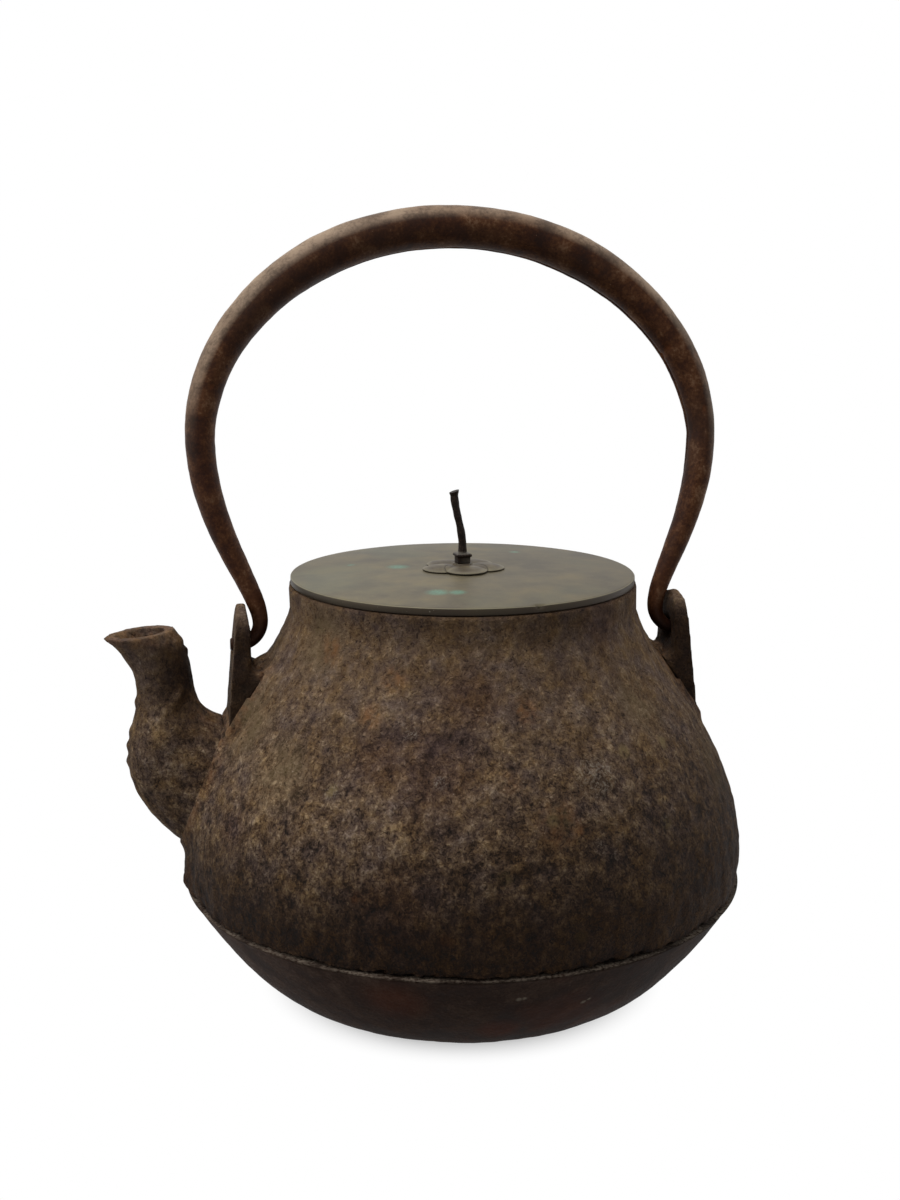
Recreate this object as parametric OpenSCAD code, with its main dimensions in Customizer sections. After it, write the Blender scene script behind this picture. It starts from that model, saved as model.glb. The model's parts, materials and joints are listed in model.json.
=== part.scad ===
// Cast iron kettle with a hinged iron bail and a loose bronze lid.
// Millimetres. z = 0 is the floor and the origin lies on it, under the middle of the body.
// The spout and the two lugs stand along X, with the spout on the -X side.
// The bail swings about an axis parallel to X and leans towards +Y at rest.

/* [Body casting] */
// Outer diameter of the mouth
mouth_d = 95.6; // [86:0.2:106]
// Height of the mouth's rim above the floor
body_h = 116.4; // [106:0.2:128]
// Width of the shoulder, from the mouth's outside to the mould seam
shoulder_w = 31; // [28:0.5:34]
// Height of the mould seam above the floor
seam_h = 32.5; // [29:0.5:36]
// Width of the ledge that the bowl's rim makes past the shell at the seam
seam_ledge = 0.4; // [0.2:0.1:0.8]
// Diameter of the flat foot
foot_d = 76; // [64:1:90]
// Thickness of the cast wall
wall = 3.6; // [3:0.1:4.5]
// Outward pull of the shell's curve at the seam, which makes the belly bulge past the seam
belly_lean = 7.2; // [5:0.1:9]
// Upward pull of the shell's curve at the seam, which sets how full the belly is
belly_pull = 37; // [33:0.5:42]
// Downward pull of the shell's curve at the mouth, which sets how tall the neck is
neck_pull = 22.3; // [19:0.5:26]
// Inward pull of the bowl's curve at the seam
bowl_lean = 18.6; // [16:0.2:21]
// Height of that pull's end above the floor
bowl_low = 2.3; // [1.5:0.1:3.5]
// Outward pull of the bowl's curve at the foot
foot_pull = 13.4; // [11:0.2:16]
// Width of the worn bevel round the mouth's rim
rim_bevel = 0.8; // [0.4:0.1:1.2]

/* [Spout] */
// Reach of the beak past the seam
spout_reach = 20.7; // [18:0.1:24]
// Depth of the beak below the mouth's rim
beak_drop = 12.6; // [10:0.2:15]
// Length of the lip, from the beak to its back
lip_l = 19.4; // [17:0.2:21]
// Width of the lip
lip_w = 16.2; // [14:0.2:18]
// Height of the lip's back over the beak
lip_rise = 2; // [1:0.2:3]
// Reach of the neck's front past the seam
neck_reach = 12.4; // [11:0.1:14]
// Height of the beak over the spout's neck
neck_drop = 15.3; // [13.5:0.1:17]
// Diameter of the spout's neck
neck_d = 16.2; // [15:0.2:18]
// Reach of the spout's own belly past the seam
bulge_reach = 15.8; // [14:0.1:18]
// Height of the spout's neck over its belly
bulge_drop = 19.5; // [17.5:0.5:21.5]
// Width of the spout at its belly
bulge_w = 25; // [22:0.5:28]
// Height of the root's low end above the floor
root_low = 42; // [38:0.5:46]
// Depth of the crotch between spout and shoulder below the mouth's rim
crotch_drop = 34; // [32:0.5:36]
// Gap between the crotch and the root of the lug behind it
crotch_gap = 4.9; // [4.4:0.1:5.5]
// Least gap between the spout and that lug's root
root_gap = 0.8; // [0.4:0.1:1.1]
// Width of the root
root_w = 30; // [26:0.5:34]
// Thickness of the spout's wall
spout_wall = 2.8; // [2.2:0.1:3.2]
// Diameter of the hole through the body's wall, inside the root
pour_hole_d = 17; // [12:0.5:20]

/* [Lugs] */
// Distance from the mouth's outside to a lug's inner face
lug_set = 11.8; // [11.2:0.1:13]
// Thickness of a lug at its top
lug_t = 3.9; // [3.4:0.1:5]
// Extra thickness of a lug at its root
lug_swell = 3.2; // [2:0.1:4]
// Width of the lug's round top
lug_w = 17.4; // [15:0.2:20]
// Width of the lug at its root
lug_root_w = 22; // [18:0.5:26]
// Depth of the lug's top below the mouth's rim
lug_drop = 4.4; // [3:0.2:6]
// Height of the lug, from its root to its top
lug_l = 33; // [30:0.5:36]
// Depth of the hole's axis below the lug's top
hole_drop = 11.4; // [10.2:0.1:12.4]
// Depth of the saddle between lug and neck below the hole's axis
saddle_drop = 6.2; // [5.8:0.1:8]
// Diameter of the lug's hole
lug_hole_d = 5.4; // [5:0.1:6.4]
// Diameter of the worn mouth of the hole, on the inner face
worn_d = 8.8; // [8.4:0.1:9.6]
// Depth of the worn mouth of the hole
worn_depth = 1.6; // [1.4:0.1:2]

/* [Bail] */
// Height of the grip's centre line over the hinge axis
bail_rise = 114.5; // [108:0.5:125]
// Reach of the centre line past the lugs' inner faces, where the bail is widest
bail_bulge = 11.7; // [9:0.1:15]
// Height of that widest point over the hinge axis
bail_waist = 56.2; // [52:0.2:60]
// Length of the arch curve's pull along the grip
grip_pull = 41.7; // [36:0.1:46]
// Length of the arch curve's pull up from the widest point
arch_pull = 28.9; // [24:0.1:34]
// Length of the leg curve's pull down from the widest point
waist_pull = 24; // [18:0.5:28]
// Length of the leg curve's pull up from the hook's bend
leg_pull = 9; // [8:0.5:12]
// Lean of the bail at rest, towards the back
bail_lean = 10; // [0:1:20]
// Thickness of the grip, across the arch
grip_t = 12; // [10:0.2:13]
// Width of the grip, front to back
grip_w = 15; // [12:0.5:17]
// Thickness where the bail is widest
waist_t = 8.4; // [7:0.2:9.6]
// Width where the bail is widest, front to back
waist_w = 11; // [9:0.5:13]
// Width of the seam where the rolled sheet's edges meet, along the bail's underside
roll_seam_w = 1; // [0.6:0.1:1.4]
// Depth of that seam
roll_seam_deep = 0.8; // [0.4:0.1:1.2]
// Diameter of the hook's wire
hook_d = 3.8; // [3.4:0.1:4.2]
// Radius of the hook's bend, on its centre line
hook_bend = 6; // [5.4:0.2:6.4]
// Gap between a leg and the lug beside it
hook_play = 1.1; // [0.8:0.1:1.4]
// Length of the hook's tip past the lug's outer face
hook_tip = 1.6; // [1:0.1:3]
// Height over the hinge axis where a hook joins the arch
joint_h = 26; // [22:0.5:30]
// Diameter of the tang that a hook sets into the arch
tang_d = 3; // [2:0.1:3.4]
// Length of that tang
tang_l = 8; // [5:0.5:10]

/* [Lid] */
// Overhang of the lid past the mouth's outside
lid_over = 0.2; // [0:0.1:1]
// Thickness of the lid's plate
lid_t = 2; // [1.6:0.1:2.6]
// Rise of the lid from its rim to its middle
lid_crown = 1.2; // [0.6:0.1:2]
// Width of the flat in the lid's middle that shows round the knob's seat
flat_margin = 1.2; // [0.6:0.2:4]
// Gap between the mouth's rim and the lid's plate
lid_rest = 0.3; // [0.2:0.05:0.4]
// Gap between the fit ring and the mouth, on each side
ring_play = 0.6; // [0.4:0.1:1]
// Depth of the fit ring below the plate
ring_depth = 9; // [6:0.5:12]
// Thickness of the fit ring
ring_t = 1.5; // [1.2:0.1:2]

/* [Knob] */
// Number of petals on the knob's seat
petals = 5; // [4:1:6]
// Diameter of the seat over its petals
seat_d = 23.6; // [22:0.2:24.4]
// Diameter of one petal
petal_d = 11.6; // [10.6:0.2:12.6]
// Thickness of the petals' edges
petal_edge = 0.45; // [0.3:0.05:0.6]
// Rise of each petal over its edge
petal_rise = 1; // [0.8:0.1:1.2]
// Width of the collar round the stalk
collar_w = 4.8; // [4.4:0.1:5.4]
// Height of the collar
collar_h = 2.9; // [2.4:0.1:3.4]
// Diameter of the stalk
stalk_d = 2.1; // [1.8:0.1:2.4]
// Length of the stalk over the collar
stalk_l = 17.7; // [14:0.5:22]
// Sideways lean of the bent stalk's top
stalk_lean = 2.4; // [0:0.2:4]
// Diameter of the stalk's flared end
stalk_end_d = 2.9; // [2.5:0.1:3.4]
// Gap between a tang and the hole that it is set in, on each side
tang_play = 0.1; // [0.05:0.05:0.2]
// Diameter of the washer under the lid
washer_d = 9; // [7:0.2:11]
// Thickness of the washer
washer_t = 1; // [0.8:0.1:1.4]
// Height of the peened head under the washer
rivet_h = 0.8; // [0.6:0.1:1.2]

/* [Hidden] */

ROUND = 64;            // facets on true rounds
CAST_ROUND = 144;      // facets on the casting's rounds
CAST_STEPS = 22;       // steps along each curve of the casting's outline
RING = 20;             // corners of a swept section
SPOUT_RING = 24;       // corners of a spout section
SINK = 0.06;           // how far a swept end sits inside the round that it runs into
OVER = 1;              // how far a cutter runs past what it cuts

cast_iron = "#4b4038";
bare_iron = "#54493f";
forged_iron = "#4a2f22";
bronze = "#6f6a5a";
dark_bronze = "#4a453c";

mouth_r = mouth_d / 2;
seam_r = mouth_r + shoulder_w;
foot_r = foot_d / 2;
inner_mouth_r = mouth_r - wall;
lug_inner = mouth_r + lug_set;
lug_outer = lug_inner + lug_t;
lug_root_x = lug_outer + lug_swell;
lug_h = body_h - lug_drop;
hinge_h = lug_h - hole_drop;
bail_half = lug_inner + bail_bulge;
lid_r = mouth_r + lid_over;
lid_flat_r = seat_d / 2 + flat_margin;
leg_x = lug_inner - hook_play - hook_d / 2;   // centre line of a leg's foot
lid_under = body_h + lid_rest;                // underside of the plate at its rim
seat_z = lid_under + lid_t + lid_crown;       // top of the plate at its middle
seat_h = petal_edge + petal_rise;
stalk_z = seat_z + seat_h + collar_h;         // where the stalk leaves the collar
tang_hole_d = stalk_d + 2 * tang_play;
ring_r = inner_mouth_r - ring_play;           // outside of the fit ring

// ---------- curves ----------

// Point on a cubic curve, at t from 0 to 1
function cubic(p, t) =
    pow(1 - t, 3) * p[0] + 3 * pow(1 - t, 2) * t * p[1]
    + 3 * (1 - t) * t * t * p[2] + pow(t, 3) * p[3];

// Direction of a cubic curve at t, of length 1
function cubic_dir(p, t) =
    let (d = pow(1 - t, 2) * (p[1] - p[0]) + 2 * (1 - t) * t * (p[2] - p[1]) + t * t * (p[3] - p[2]))
    d / norm(d);

// Quarter turn of a plane direction, clockwise
function right_of(d) = [d[1], -d[0]];

function mix(a, b, t) = a + (b - a) * t;

// Smooth step from a to b with no slope at its ends
function ease(a, b, t) = cubic([a, a, b, b], t);

function reversed(list) = [for (i = [len(list) - 1:-1:0]) list[i]];

// ---------- outlines of the casting, as [radius, height] ----------

shell_curve = [
    [seam_r, seam_h],
    [seam_r + belly_lean, seam_h + belly_pull],
    [mouth_r, body_h - neck_pull],
    [mouth_r, body_h]
];

bowl_r = seam_r + seam_ledge;
bowl_curve = [
    [bowl_r, seam_h],
    [bowl_r - bowl_lean, bowl_low],
    [foot_r + foot_pull, 0],
    [foot_r, 0]
];

shell_outside = [for (i = [0:CAST_STEPS - 1]) cubic(shell_curve, i / CAST_STEPS)];
shell_inside = [
    [seam_r - wall, seam_h],
    for (i = [1:CAST_STEPS])
        cubic(shell_curve, i / CAST_STEPS) - wall * right_of(cubic_dir(shell_curve, i / CAST_STEPS))
];
shell_rim = [[mouth_r, body_h - rim_bevel], [mouth_r - rim_bevel, body_h]];

bowl_outside = [for (i = [0:CAST_STEPS]) cubic(bowl_curve, i / CAST_STEPS)];
bowl_inside = [
    for (i = [0:CAST_STEPS])
        let (q = cubic(bowl_curve, i / CAST_STEPS) + wall * right_of(cubic_dir(bowl_curve, i / CAST_STEPS)))
        if (q[1] < seam_h - wall / 2 && q[0] < seam_r - wall) q
];

// The casting's outer form, filled, for trimming what is cast onto it
module casting_form() {
    rotate_extrude($fn = CAST_ROUND)
        polygon(concat([[0, seam_h]], shell_outside, shell_rim, [[0, body_h]]));
}

// ---------- swept solids ----------

// Solid through a list of rings of points, all with the same number of corners
module loft(rings) {
    n = len(rings[0]);
    last = len(rings) - 1;
    points = [for (ring = rings) each ring];
    sides = [
        for (i = [0:last - 1], j = [0:n - 1])
            let (a = i * n + j, b = i * n + (j + 1) % n)
            each [[a, b, b + n], [a, b + n, a + n]]
    ];
    caps = [[for (j = [n - 1:-1:0]) j], [for (j = [0:n - 1]) last * n + j]];
    polyhedron(points = points, faces = [for (f = concat(sides, caps)) reversed(f)], convexity = 6);
}

// Oval ring about a point of the XZ plane. across is the direction of its first axis in that plane.
function oval(centre, across, half_t, half_w, n = RING) = [
    for (j = [0:n - 1])
        let (a = 360 * j / n, p = centre + half_t * cos(a) * across)
        [p[0], half_w * sin(a), p[1]]
];

// Oval ring of rolled sheet. Its edges turn in and meet in a seam on the side of its first axis.
function rolled(centre, across, half_t, half_w, seam_deep) =
    let (
        seam_a = asin(roll_seam_w / 2 / half_w),
        floor_at = centre + (half_t - seam_deep) * across
    )
    [
        for (j = [0:RING])
            let (
                a = j == 0 ? seam_a : j == RING ? 360 - seam_a : 360 * j / RING,
                p = centre + half_t * cos(a) * across
            )
            [p[0], half_w * sin(a), p[1]],
        [floor_at[0], 0, floor_at[1]]
    ];

// ---------- spout ----------

// The spout is lofted between two rails that lie in the XZ plane, as [reach from the axis, height]
beak = [seam_r + spout_reach, body_h - beak_drop];
lip_back = beak + [-lip_l, lip_rise];
neck_front = [seam_r + neck_reach, beak[1] - neck_drop];
neck_back = neck_front + [-neck_d, 2.4];
bulge_front = [seam_r + bulge_reach, neck_front[1] - bulge_drop];
crotch = [lug_root_x + crotch_gap, body_h - crotch_drop];
root_front = [seam_r - 2.4, root_low];
root_back = crotch - [11.6, 3.4];

front_rail = [
    [root_front, root_front + [8, 6], bulge_front - [0, 12], bulge_front],
    [bulge_front, bulge_front + [0, 7], neck_front - [0, 7], neck_front],
    [neck_front, neck_front + [0, 6], beak - [5, 4.6], beak]
];
back_rail = [
    [root_back, root_back + [6, 1], crotch - [4, 2.5], crotch],
    [crotch, crotch + [2, 1.6], neck_back - [0.3, 3.5], neck_back],
    [neck_back, neck_back + [0.3, 5], lip_back - [3, 4], lip_back]
];
half_widths = [root_w / 2, bulge_w / 2, neck_d / 2, lip_w / 2];

// One section of the spout: stretch 0 to 2 of the rails, t along it, and the wall taken off its outside.
// The sections grow a beak at the front over the last stretch.
function spout_section(stretch, t, inset = 0) =
    let (
        front = cubic(front_rail[stretch], t),
        back = cubic(back_rail[stretch], t),
        half_l = norm(front - back) / 2 - inset,
        across = (front - back) / norm(front - back),
        middle = (front + back) / 2,
        half_w = ease(half_widths[stretch], half_widths[stretch + 1], t) - inset,
        point = stretch < 2 ? 0 : 0.3 * t
    )
    [
        for (j = [0:SPOUT_RING - 1])
            let (
                a = 360 * j / SPOUT_RING,
                q = middle - half_l * cos(a) * across,
                w = half_w * sin(a) * (1 - point * pow(max(0, -cos(a)), 2))
            )
            [-q[0], w, q[1]]
    ];

function lifted(ring, dz) = [for (p = ring) p + [0, 0, dz]];

module spout_form() {
    steps = [8, 6, 6];
    loft([
        for (s = [0:2], i = [0:steps[s] - 1]) spout_section(s, i / steps[s]),
        spout_section(2, 1)
    ]);
}

module spout_channel() {
    steps = [5, 5, 5];
    loft([
        for (s = [0:2], i = [0:steps[s] - 1]) spout_section(s, i / steps[s], spout_wall),
        spout_section(2, 1, spout_wall),
        lifted(spout_section(2, 1, spout_wall), OVER + lip_rise)
    ]);
}

// ---------- body casting ----------

module pour_hole() {
    translate([-seam_r - OVER, 0, (crotch[1] + root_low) / 2])
        rotate([0, 90, 0]) cylinder(h = 4 * wall, d = pour_hole_d, $fn = ROUND);
}

module body_shell() {
    color(cast_iron) difference() {
        rotate_extrude($fn = CAST_ROUND)
            polygon(concat(shell_outside, shell_rim, reversed(shell_inside)));
        pour_hole();
    }
}

module body_bottom() {
    color(bare_iron) rotate_extrude($fn = CAST_ROUND)
        polygon(concat(
            [[seam_r - wall, seam_h]], bowl_outside, [[0, 0], [0, wall]], reversed(bowl_inside)
        ));
}

// Everything on the body's side of the spout-side lug's root, which the spout keeps clear of
module lug_side() {
    depth = 2 * (lug_root_x + root_gap);
    translate([-lug_root_x - root_gap, -root_w, root_low]) cube([depth, 2 * root_w, body_h]);
}

module spout() {
    color(cast_iron) difference() {
        spout_form();
        casting_form();
        spout_channel();
        lug_side();
    }
}

// A lug's side outline, as [x, z], from its root up the inner face and down the outer face
lug_from = mouth_r - wall;      // inside the neck, where the casting's form trims it
saddle_h = hinge_h - saddle_drop;
lug_foot = lug_h - lug_l - wall;
lug_section = [
    [lug_from, lug_foot],
    [lug_from, saddle_h],
    [lug_inner - 1.6, saddle_h],
    [lug_inner - 0.4, saddle_h + 0.5],
    [lug_inner, saddle_h + 1.6],
    [lug_inner, hinge_h + 6],
    [lug_inner + 0.8, lug_h - 0.9],
    [lug_inner + 1.5, lug_h],
    [lug_outer - 0.9, lug_h],
    [lug_outer - 0.1, lug_h - 0.8],
    [lug_root_x, lug_h - lug_l],
    [lug_root_x, lug_foot]
];

module lug_outline() {
    top_r = lug_w / 2;
    depth = lug_root_x - lug_from + 2 * OVER;
    translate([lug_from - OVER, 0, 0]) rotate([90, 0, 90]) union() {
        translate([0, lug_h - top_r, 0]) cylinder(h = depth, r = top_r, $fn = ROUND);
        linear_extrude(height = depth) polygon([
            [-top_r, lug_h - top_r], [top_r, lug_h - top_r],
            [lug_root_w / 2, lug_foot - OVER], [-lug_root_w / 2, lug_foot - OVER]
        ]);
    }
}

module lug() {
    color(cast_iron) difference() {
        intersection() {
            translate([0, lug_root_w, 0]) rotate([90, 0, 0])
                linear_extrude(height = 2 * lug_root_w) polygon(lug_section);
            lug_outline();
        }
        casting_form();
        translate([lug_inner - OVER, 0, hinge_h]) rotate([0, 90, 0])
            cylinder(h = lug_t + lug_swell + 2 * OVER, d = lug_hole_d, $fn = ROUND);
        translate([lug_inner, 0, hinge_h]) rotate([0, 90, 0])
            cylinder(h = worn_depth, d1 = worn_d, d2 = lug_hole_d, $fn = ROUND);
    }
}

module lug_spout_side() { mirror([1, 0, 0]) lug(); }
module lug_far_side() { lug(); }

// ---------- bail, in its own frame: x across, z up from the hinge axis ----------

arch_curve = [
    [0, bail_rise],
    [grip_pull, bail_rise],
    [bail_half, bail_waist + arch_pull],
    [bail_half, bail_waist]
];
leg_curve = [
    [bail_half, bail_waist],
    [bail_half, bail_waist - waist_pull],
    [leg_x, hook_bend + leg_pull],
    [leg_x, hook_bend]
];

// The thickness and the width are full over the grip and fall off evenly to the waist, then to the hook
GRIP_PART = 0.33;
function arch_share(t) = max(0, (t - GRIP_PART) / (1 - GRIP_PART));
function leg_share(z) = (bail_waist - z) / (bail_waist - hook_bend);

function arch_ring(t) =
    let (d = cubic_dir(arch_curve, t), s = arch_share(t))
    rolled(
        cubic(arch_curve, t), right_of(d), mix(grip_t, waist_t, s) / 2, mix(grip_w, waist_w, s) / 2,
        roll_seam_deep
    );

// Half the thickness and half the width of a leg, at the share s of its taper
function leg_half(s) = [mix(waist_t, hook_d, s) / 2 - SINK * s, mix(waist_w, hook_d, s) / 2 - SINK * s];

// Section of the forged end of a leg
function leg_ring(t) =
    let (c = cubic(leg_curve, t), h = leg_half(leg_share(c[1])))
    oval(c, right_of(cubic_dir(leg_curve, t)), h[0], h[1]);

// Section of the rolled part of a leg, whose seam closes towards the joint
function rolled_leg_ring(t) =
    let (c = cubic(leg_curve, t), h = leg_half(leg_share(c[1])))
    rolled(c, right_of(cubic_dir(leg_curve, t)), h[0], h[1], roll_seam_deep * (1 - t / joint_t));

// Share of the leg's curve at which it passes the joint
function leg_t_at(z, lo = 0, hi = 1, n = 20) =
    n == 0 ? lo
    : let (m = (lo + hi) / 2) cubic(leg_curve, m)[1] > z ? leg_t_at(z, m, hi, n - 1) : leg_t_at(z, lo, m, n - 1);
joint_t = leg_t_at(joint_h);

// The same ring on the other side of the bail
function mirrored(ring) = [for (p = ring) [-p[0], p[1], p[2]]];

// Puts a piece of the bail on its hinge, with its lean
module on_hinge() {
    translate([0, 0, hinge_h]) rotate([-bail_lean, 0, 0]) children();
}

// A round tang up the leg's axis from the joint, which starts OVER below it
module tang(d, l) {
    foot = cubic(leg_curve, joint_t);
    dir = -cubic_dir(leg_curve, joint_t);
    translate([foot[0], 0, foot[1]]) rotate([0, atan2(dir[0], dir[1]), 0])
        translate([0, 0, -OVER]) cylinder(h = l + OVER, d = d, $fn = 32);
}

module bail_arch() {
    arch_steps = 13;
    leg_steps = 6;
    half = concat(
        [for (i = [1:arch_steps - 1]) arch_ring(i / arch_steps)],
        [for (i = [0:leg_steps]) rolled_leg_ring(joint_t * i / leg_steps)]
    );
    color(forged_iron) on_hinge() difference() {
        loft(concat([for (r = reversed(half)) mirrored(r)], [arch_ring(0)], half));
        tang(tang_d + 2 * tang_play, tang_l);
        mirror([1, 0, 0]) tang(tang_d + 2 * tang_play, tang_l);
    }
}

module bail_hook() {
    steps = 7;
    bend_x = leg_x + hook_bend;
    color(forged_iron) on_hinge() union() {
        loft(concat(
            [for (i = [0:steps]) leg_ring(mix(joint_t, 1, i / steps))],
            [oval([leg_x, hook_bend - OVER / 2], [-1, 0], hook_d / 4, hook_d / 4)]
        ));
        tang(tang_d, tang_l - tang_play);
        translate([bend_x, 0, hook_bend]) rotate([90, 0, 0]) rotate([0, 0, 180])
            rotate_extrude(angle = 90, $fn = ROUND) translate([hook_bend, 0]) circle(d = hook_d, $fn = 32);
        translate([bend_x, 0, 0]) rotate([0, 90, 0])
            cylinder(h = lug_outer + hook_tip - bend_x, d = hook_d, $fn = 32);
    }
}

module bail_hook_spout_side() { mirror([1, 0, 0]) bail_hook(); }
module bail_hook_far_side() { bail_hook(); }

// ---------- lid ----------

// Height over the rim of a crowned disc that is flat in its middle and runs out at reach
function crown_at(r, reach) = lid_crown * (1 - pow((max(r, lid_flat_r) - lid_flat_r) / (reach - lid_flat_r), 2));

module lid_plate() {
    steps = 10;
    under_r = ring_r - ring_t;
    edge = 0.3;
    top = [for (i = [0:steps]) let (r = mix(lid_flat_r, lid_r - edge, i / steps)) [r, lid_under + lid_t + crown_at(r, lid_r - edge)]];
    under = [for (i = [0:steps]) let (r = mix(lid_flat_r, under_r, i / steps)) [r, lid_under + crown_at(r, under_r)]];
    color(bronze) rotate_extrude($fn = ROUND) polygon(concat(
        [[tang_hole_d / 2, seat_z]], top, [[lid_r, lid_under + lid_t - edge], [lid_r, lid_under]],
        reversed(under), [[tang_hole_d / 2, lid_under + lid_crown]]
    ));
}

module lid_fit_ring() {
    color(dark_bronze) translate([0, 0, lid_under - ring_depth]) difference() {
        cylinder(h = ring_depth, r = ring_r, $fn = ROUND);
        translate([0, 0, -OVER]) cylinder(h = ring_depth + 2 * OVER, r = ring_r - ring_t, $fn = ROUND);
    }
}

module petal() {
    r = petal_d / 2;
    ball = (r * r + petal_rise * petal_rise) / (2 * petal_rise);
    translate([seat_d / 2 - r, 0, 0]) union() {
        cylinder(h = petal_edge, r = r, $fn = ROUND);
        intersection() {
            translate([0, 0, petal_edge + petal_rise - ball]) sphere(r = ball, $fn = 4 * ROUND);
            cylinder(h = petal_edge + petal_rise, r = r, $fn = ROUND);
        }
    }
}

module knob_seat() {
    color(bronze) translate([0, 0, seat_z]) difference() {
        union() {
            for (i = [0:petals - 1]) rotate([0, 0, 360 * i / petals - 90]) petal();
            cylinder(h = seat_h, d = collar_w + 1, $fn = ROUND);
        }
        translate([0, 0, -OVER]) cylinder(h = seat_h + 2 * OVER, d = tang_hole_d, $fn = ROUND);
    }
}

module knob_collar() {
    cap_h = collar_h / 3;
    foot_w = collar_w - 0.5;
    color(dark_bronze) translate([0, 0, seat_z + seat_h]) rotate([0, 0, 8]) difference() {
        intersection() {
            union() {
                translate([-foot_w / 2, -foot_w / 2, 0]) cube([foot_w, foot_w, collar_h]);
                translate([-collar_w / 2, -collar_w / 2, collar_h - cap_h]) cube([collar_w, collar_w, cap_h]);
            }
            cylinder(h = collar_h, d = collar_w * 1.3, $fn = ROUND);
        }
        translate([0, 0, -OVER]) cylinder(h = collar_h + 2 * OVER, d = tang_hole_d, $fn = ROUND);
    }
}

module knob_stalk() {
    steps = 9;
    bend = [
        [0, stalk_z], [0.12 * stalk_lean, stalk_z + 0.4 * stalk_l],
        [-0.95 * stalk_lean, stalk_z + 0.62 * stalk_l], [-stalk_lean, stalk_z + stalk_l]
    ];
    head_z = lid_under + lid_crown - washer_t;
    r = stalk_d / 2;
    color(dark_bronze) union() {
        translate([0, 0, head_z - rivet_h]) cylinder(h = stalk_z - head_z + rivet_h, d = stalk_d, $fn = 32);
        translate([0, 0, head_z - rivet_h])
            cylinder(h = rivet_h, d1 = stalk_d * 1.1, d2 = stalk_d * 1.8, $fn = 32);
        loft(concat(
            [oval([0, stalk_z - OVER / 2], [1, 0], r / 2, r / 2, 16)],
            [for (i = [0:steps - 1])
                oval(cubic(bend, i / steps), right_of(cubic_dir(bend, i / steps)), r - SINK, r - SINK, 16)],
            [oval(cubic(bend, 1) - [0, 0.5], [0.97, 0.24], r + 0.05, r, 16)],
            [oval(cubic(bend, 1), [0.97, 0.24], stalk_end_d / 2, stalk_end_d / 2 - 0.1, 16)]
        ));
    }
}

module knob_washer() {
    color(dark_bronze) translate([0, 0, lid_under + lid_crown - washer_t]) difference() {
        cylinder(h = washer_t, d = washer_d, $fn = ROUND);
        translate([0, 0, -OVER]) cylinder(h = washer_t + 2 * OVER, d = tang_hole_d, $fn = ROUND);
    }
}

body_shell();
body_bottom();
spout();
lug_spout_side();
lug_far_side();
bail_arch();
bail_hook_spout_side();
bail_hook_far_side();
lid_plate();
lid_fit_ring();
knob_seat();
knob_collar();
knob_stalk();
knob_washer();
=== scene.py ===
"""Looks of a cast iron kettle: rough sand-cast body, rolled iron bail, old bronze lid and knob."""
import json
import math

import bmesh
import bpy
from mathutils import Matrix, Vector, noise
from mathutils.bvhtree import BVHTree


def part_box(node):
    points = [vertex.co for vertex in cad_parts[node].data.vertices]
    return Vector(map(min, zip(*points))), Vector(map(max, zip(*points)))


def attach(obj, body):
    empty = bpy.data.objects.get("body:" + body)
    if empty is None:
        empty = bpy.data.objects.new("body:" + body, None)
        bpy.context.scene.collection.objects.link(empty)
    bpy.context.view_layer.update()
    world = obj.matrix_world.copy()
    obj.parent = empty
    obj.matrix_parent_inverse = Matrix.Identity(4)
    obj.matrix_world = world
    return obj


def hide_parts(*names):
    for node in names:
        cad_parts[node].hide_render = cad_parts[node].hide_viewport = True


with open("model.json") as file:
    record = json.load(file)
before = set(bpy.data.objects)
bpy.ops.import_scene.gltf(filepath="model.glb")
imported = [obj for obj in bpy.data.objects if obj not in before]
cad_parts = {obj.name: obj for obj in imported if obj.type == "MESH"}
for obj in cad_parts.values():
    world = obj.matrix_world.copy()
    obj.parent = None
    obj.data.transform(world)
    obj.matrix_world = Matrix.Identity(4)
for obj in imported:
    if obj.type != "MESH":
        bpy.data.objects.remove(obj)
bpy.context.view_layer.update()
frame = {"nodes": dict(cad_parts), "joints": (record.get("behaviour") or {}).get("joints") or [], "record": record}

MM = 0.001
UP = Vector((0, 0, 1))

# ---------- sizes, in metres, read off the frame ----------

SEAM_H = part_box("body_shell")[0].z
MOUTH_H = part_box("body_shell")[1].z
LID_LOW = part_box("lid_plate")[0].z
LID_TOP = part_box("lid_plate")[1].z
LID_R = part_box("lid_plate")[1].x
RING_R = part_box("lid_fit_ring")[1].x
SEAT_LOW, SEAT_TOP = (corner.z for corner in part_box("knob_seat"))
COLLAR_LOW, COLLAR_TOP = (corner.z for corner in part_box("knob_collar"))
TANG_LOW, KNOB_TOP = (corner.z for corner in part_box("knob_stalk"))
HINGE_H = next(joint["pos_m"][2] for joint in frame["joints"] if joint["name"] == "bail_swing")
GRIP = next(mount for mount in frame["record"]["mounts"] if mount["name"] == "grip")
LEAN = math.atan2(GRIP["axis"][1], GRIP["axis"][2])
WALL = 3.6 * MM
SKIN = 1.1                  # from the highest to the lowest grain of the cast skin, in millimetres
RAYS = 400                  # steps between the rays that read a turned outline


# ---------- tools for shapes ----------

def mix(a, b, t):
    """From a to b by the share t."""
    return a + (b - a) * t


def cubic(p, t):
    """Point on a cubic curve through four control points."""
    s = 1 - t
    return s ** 3 * p[0] + 3 * s * s * t * p[1] + 3 * s * t * t * p[2] + t ** 3 * p[3]


def fade(distance, reach):
    """1 at no distance, falling smoothly to 0 at the reach."""
    t = min(1, max(0, 1 - distance / reach))
    return t * t * (3 - 2 * t)


def grain(p, size, seed):
    """Noise from -1 to 1 whose lumps are about size wide."""
    return noise.noise(p / size + Vector((seed, 2 * seed, 3 * seed)))


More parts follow.
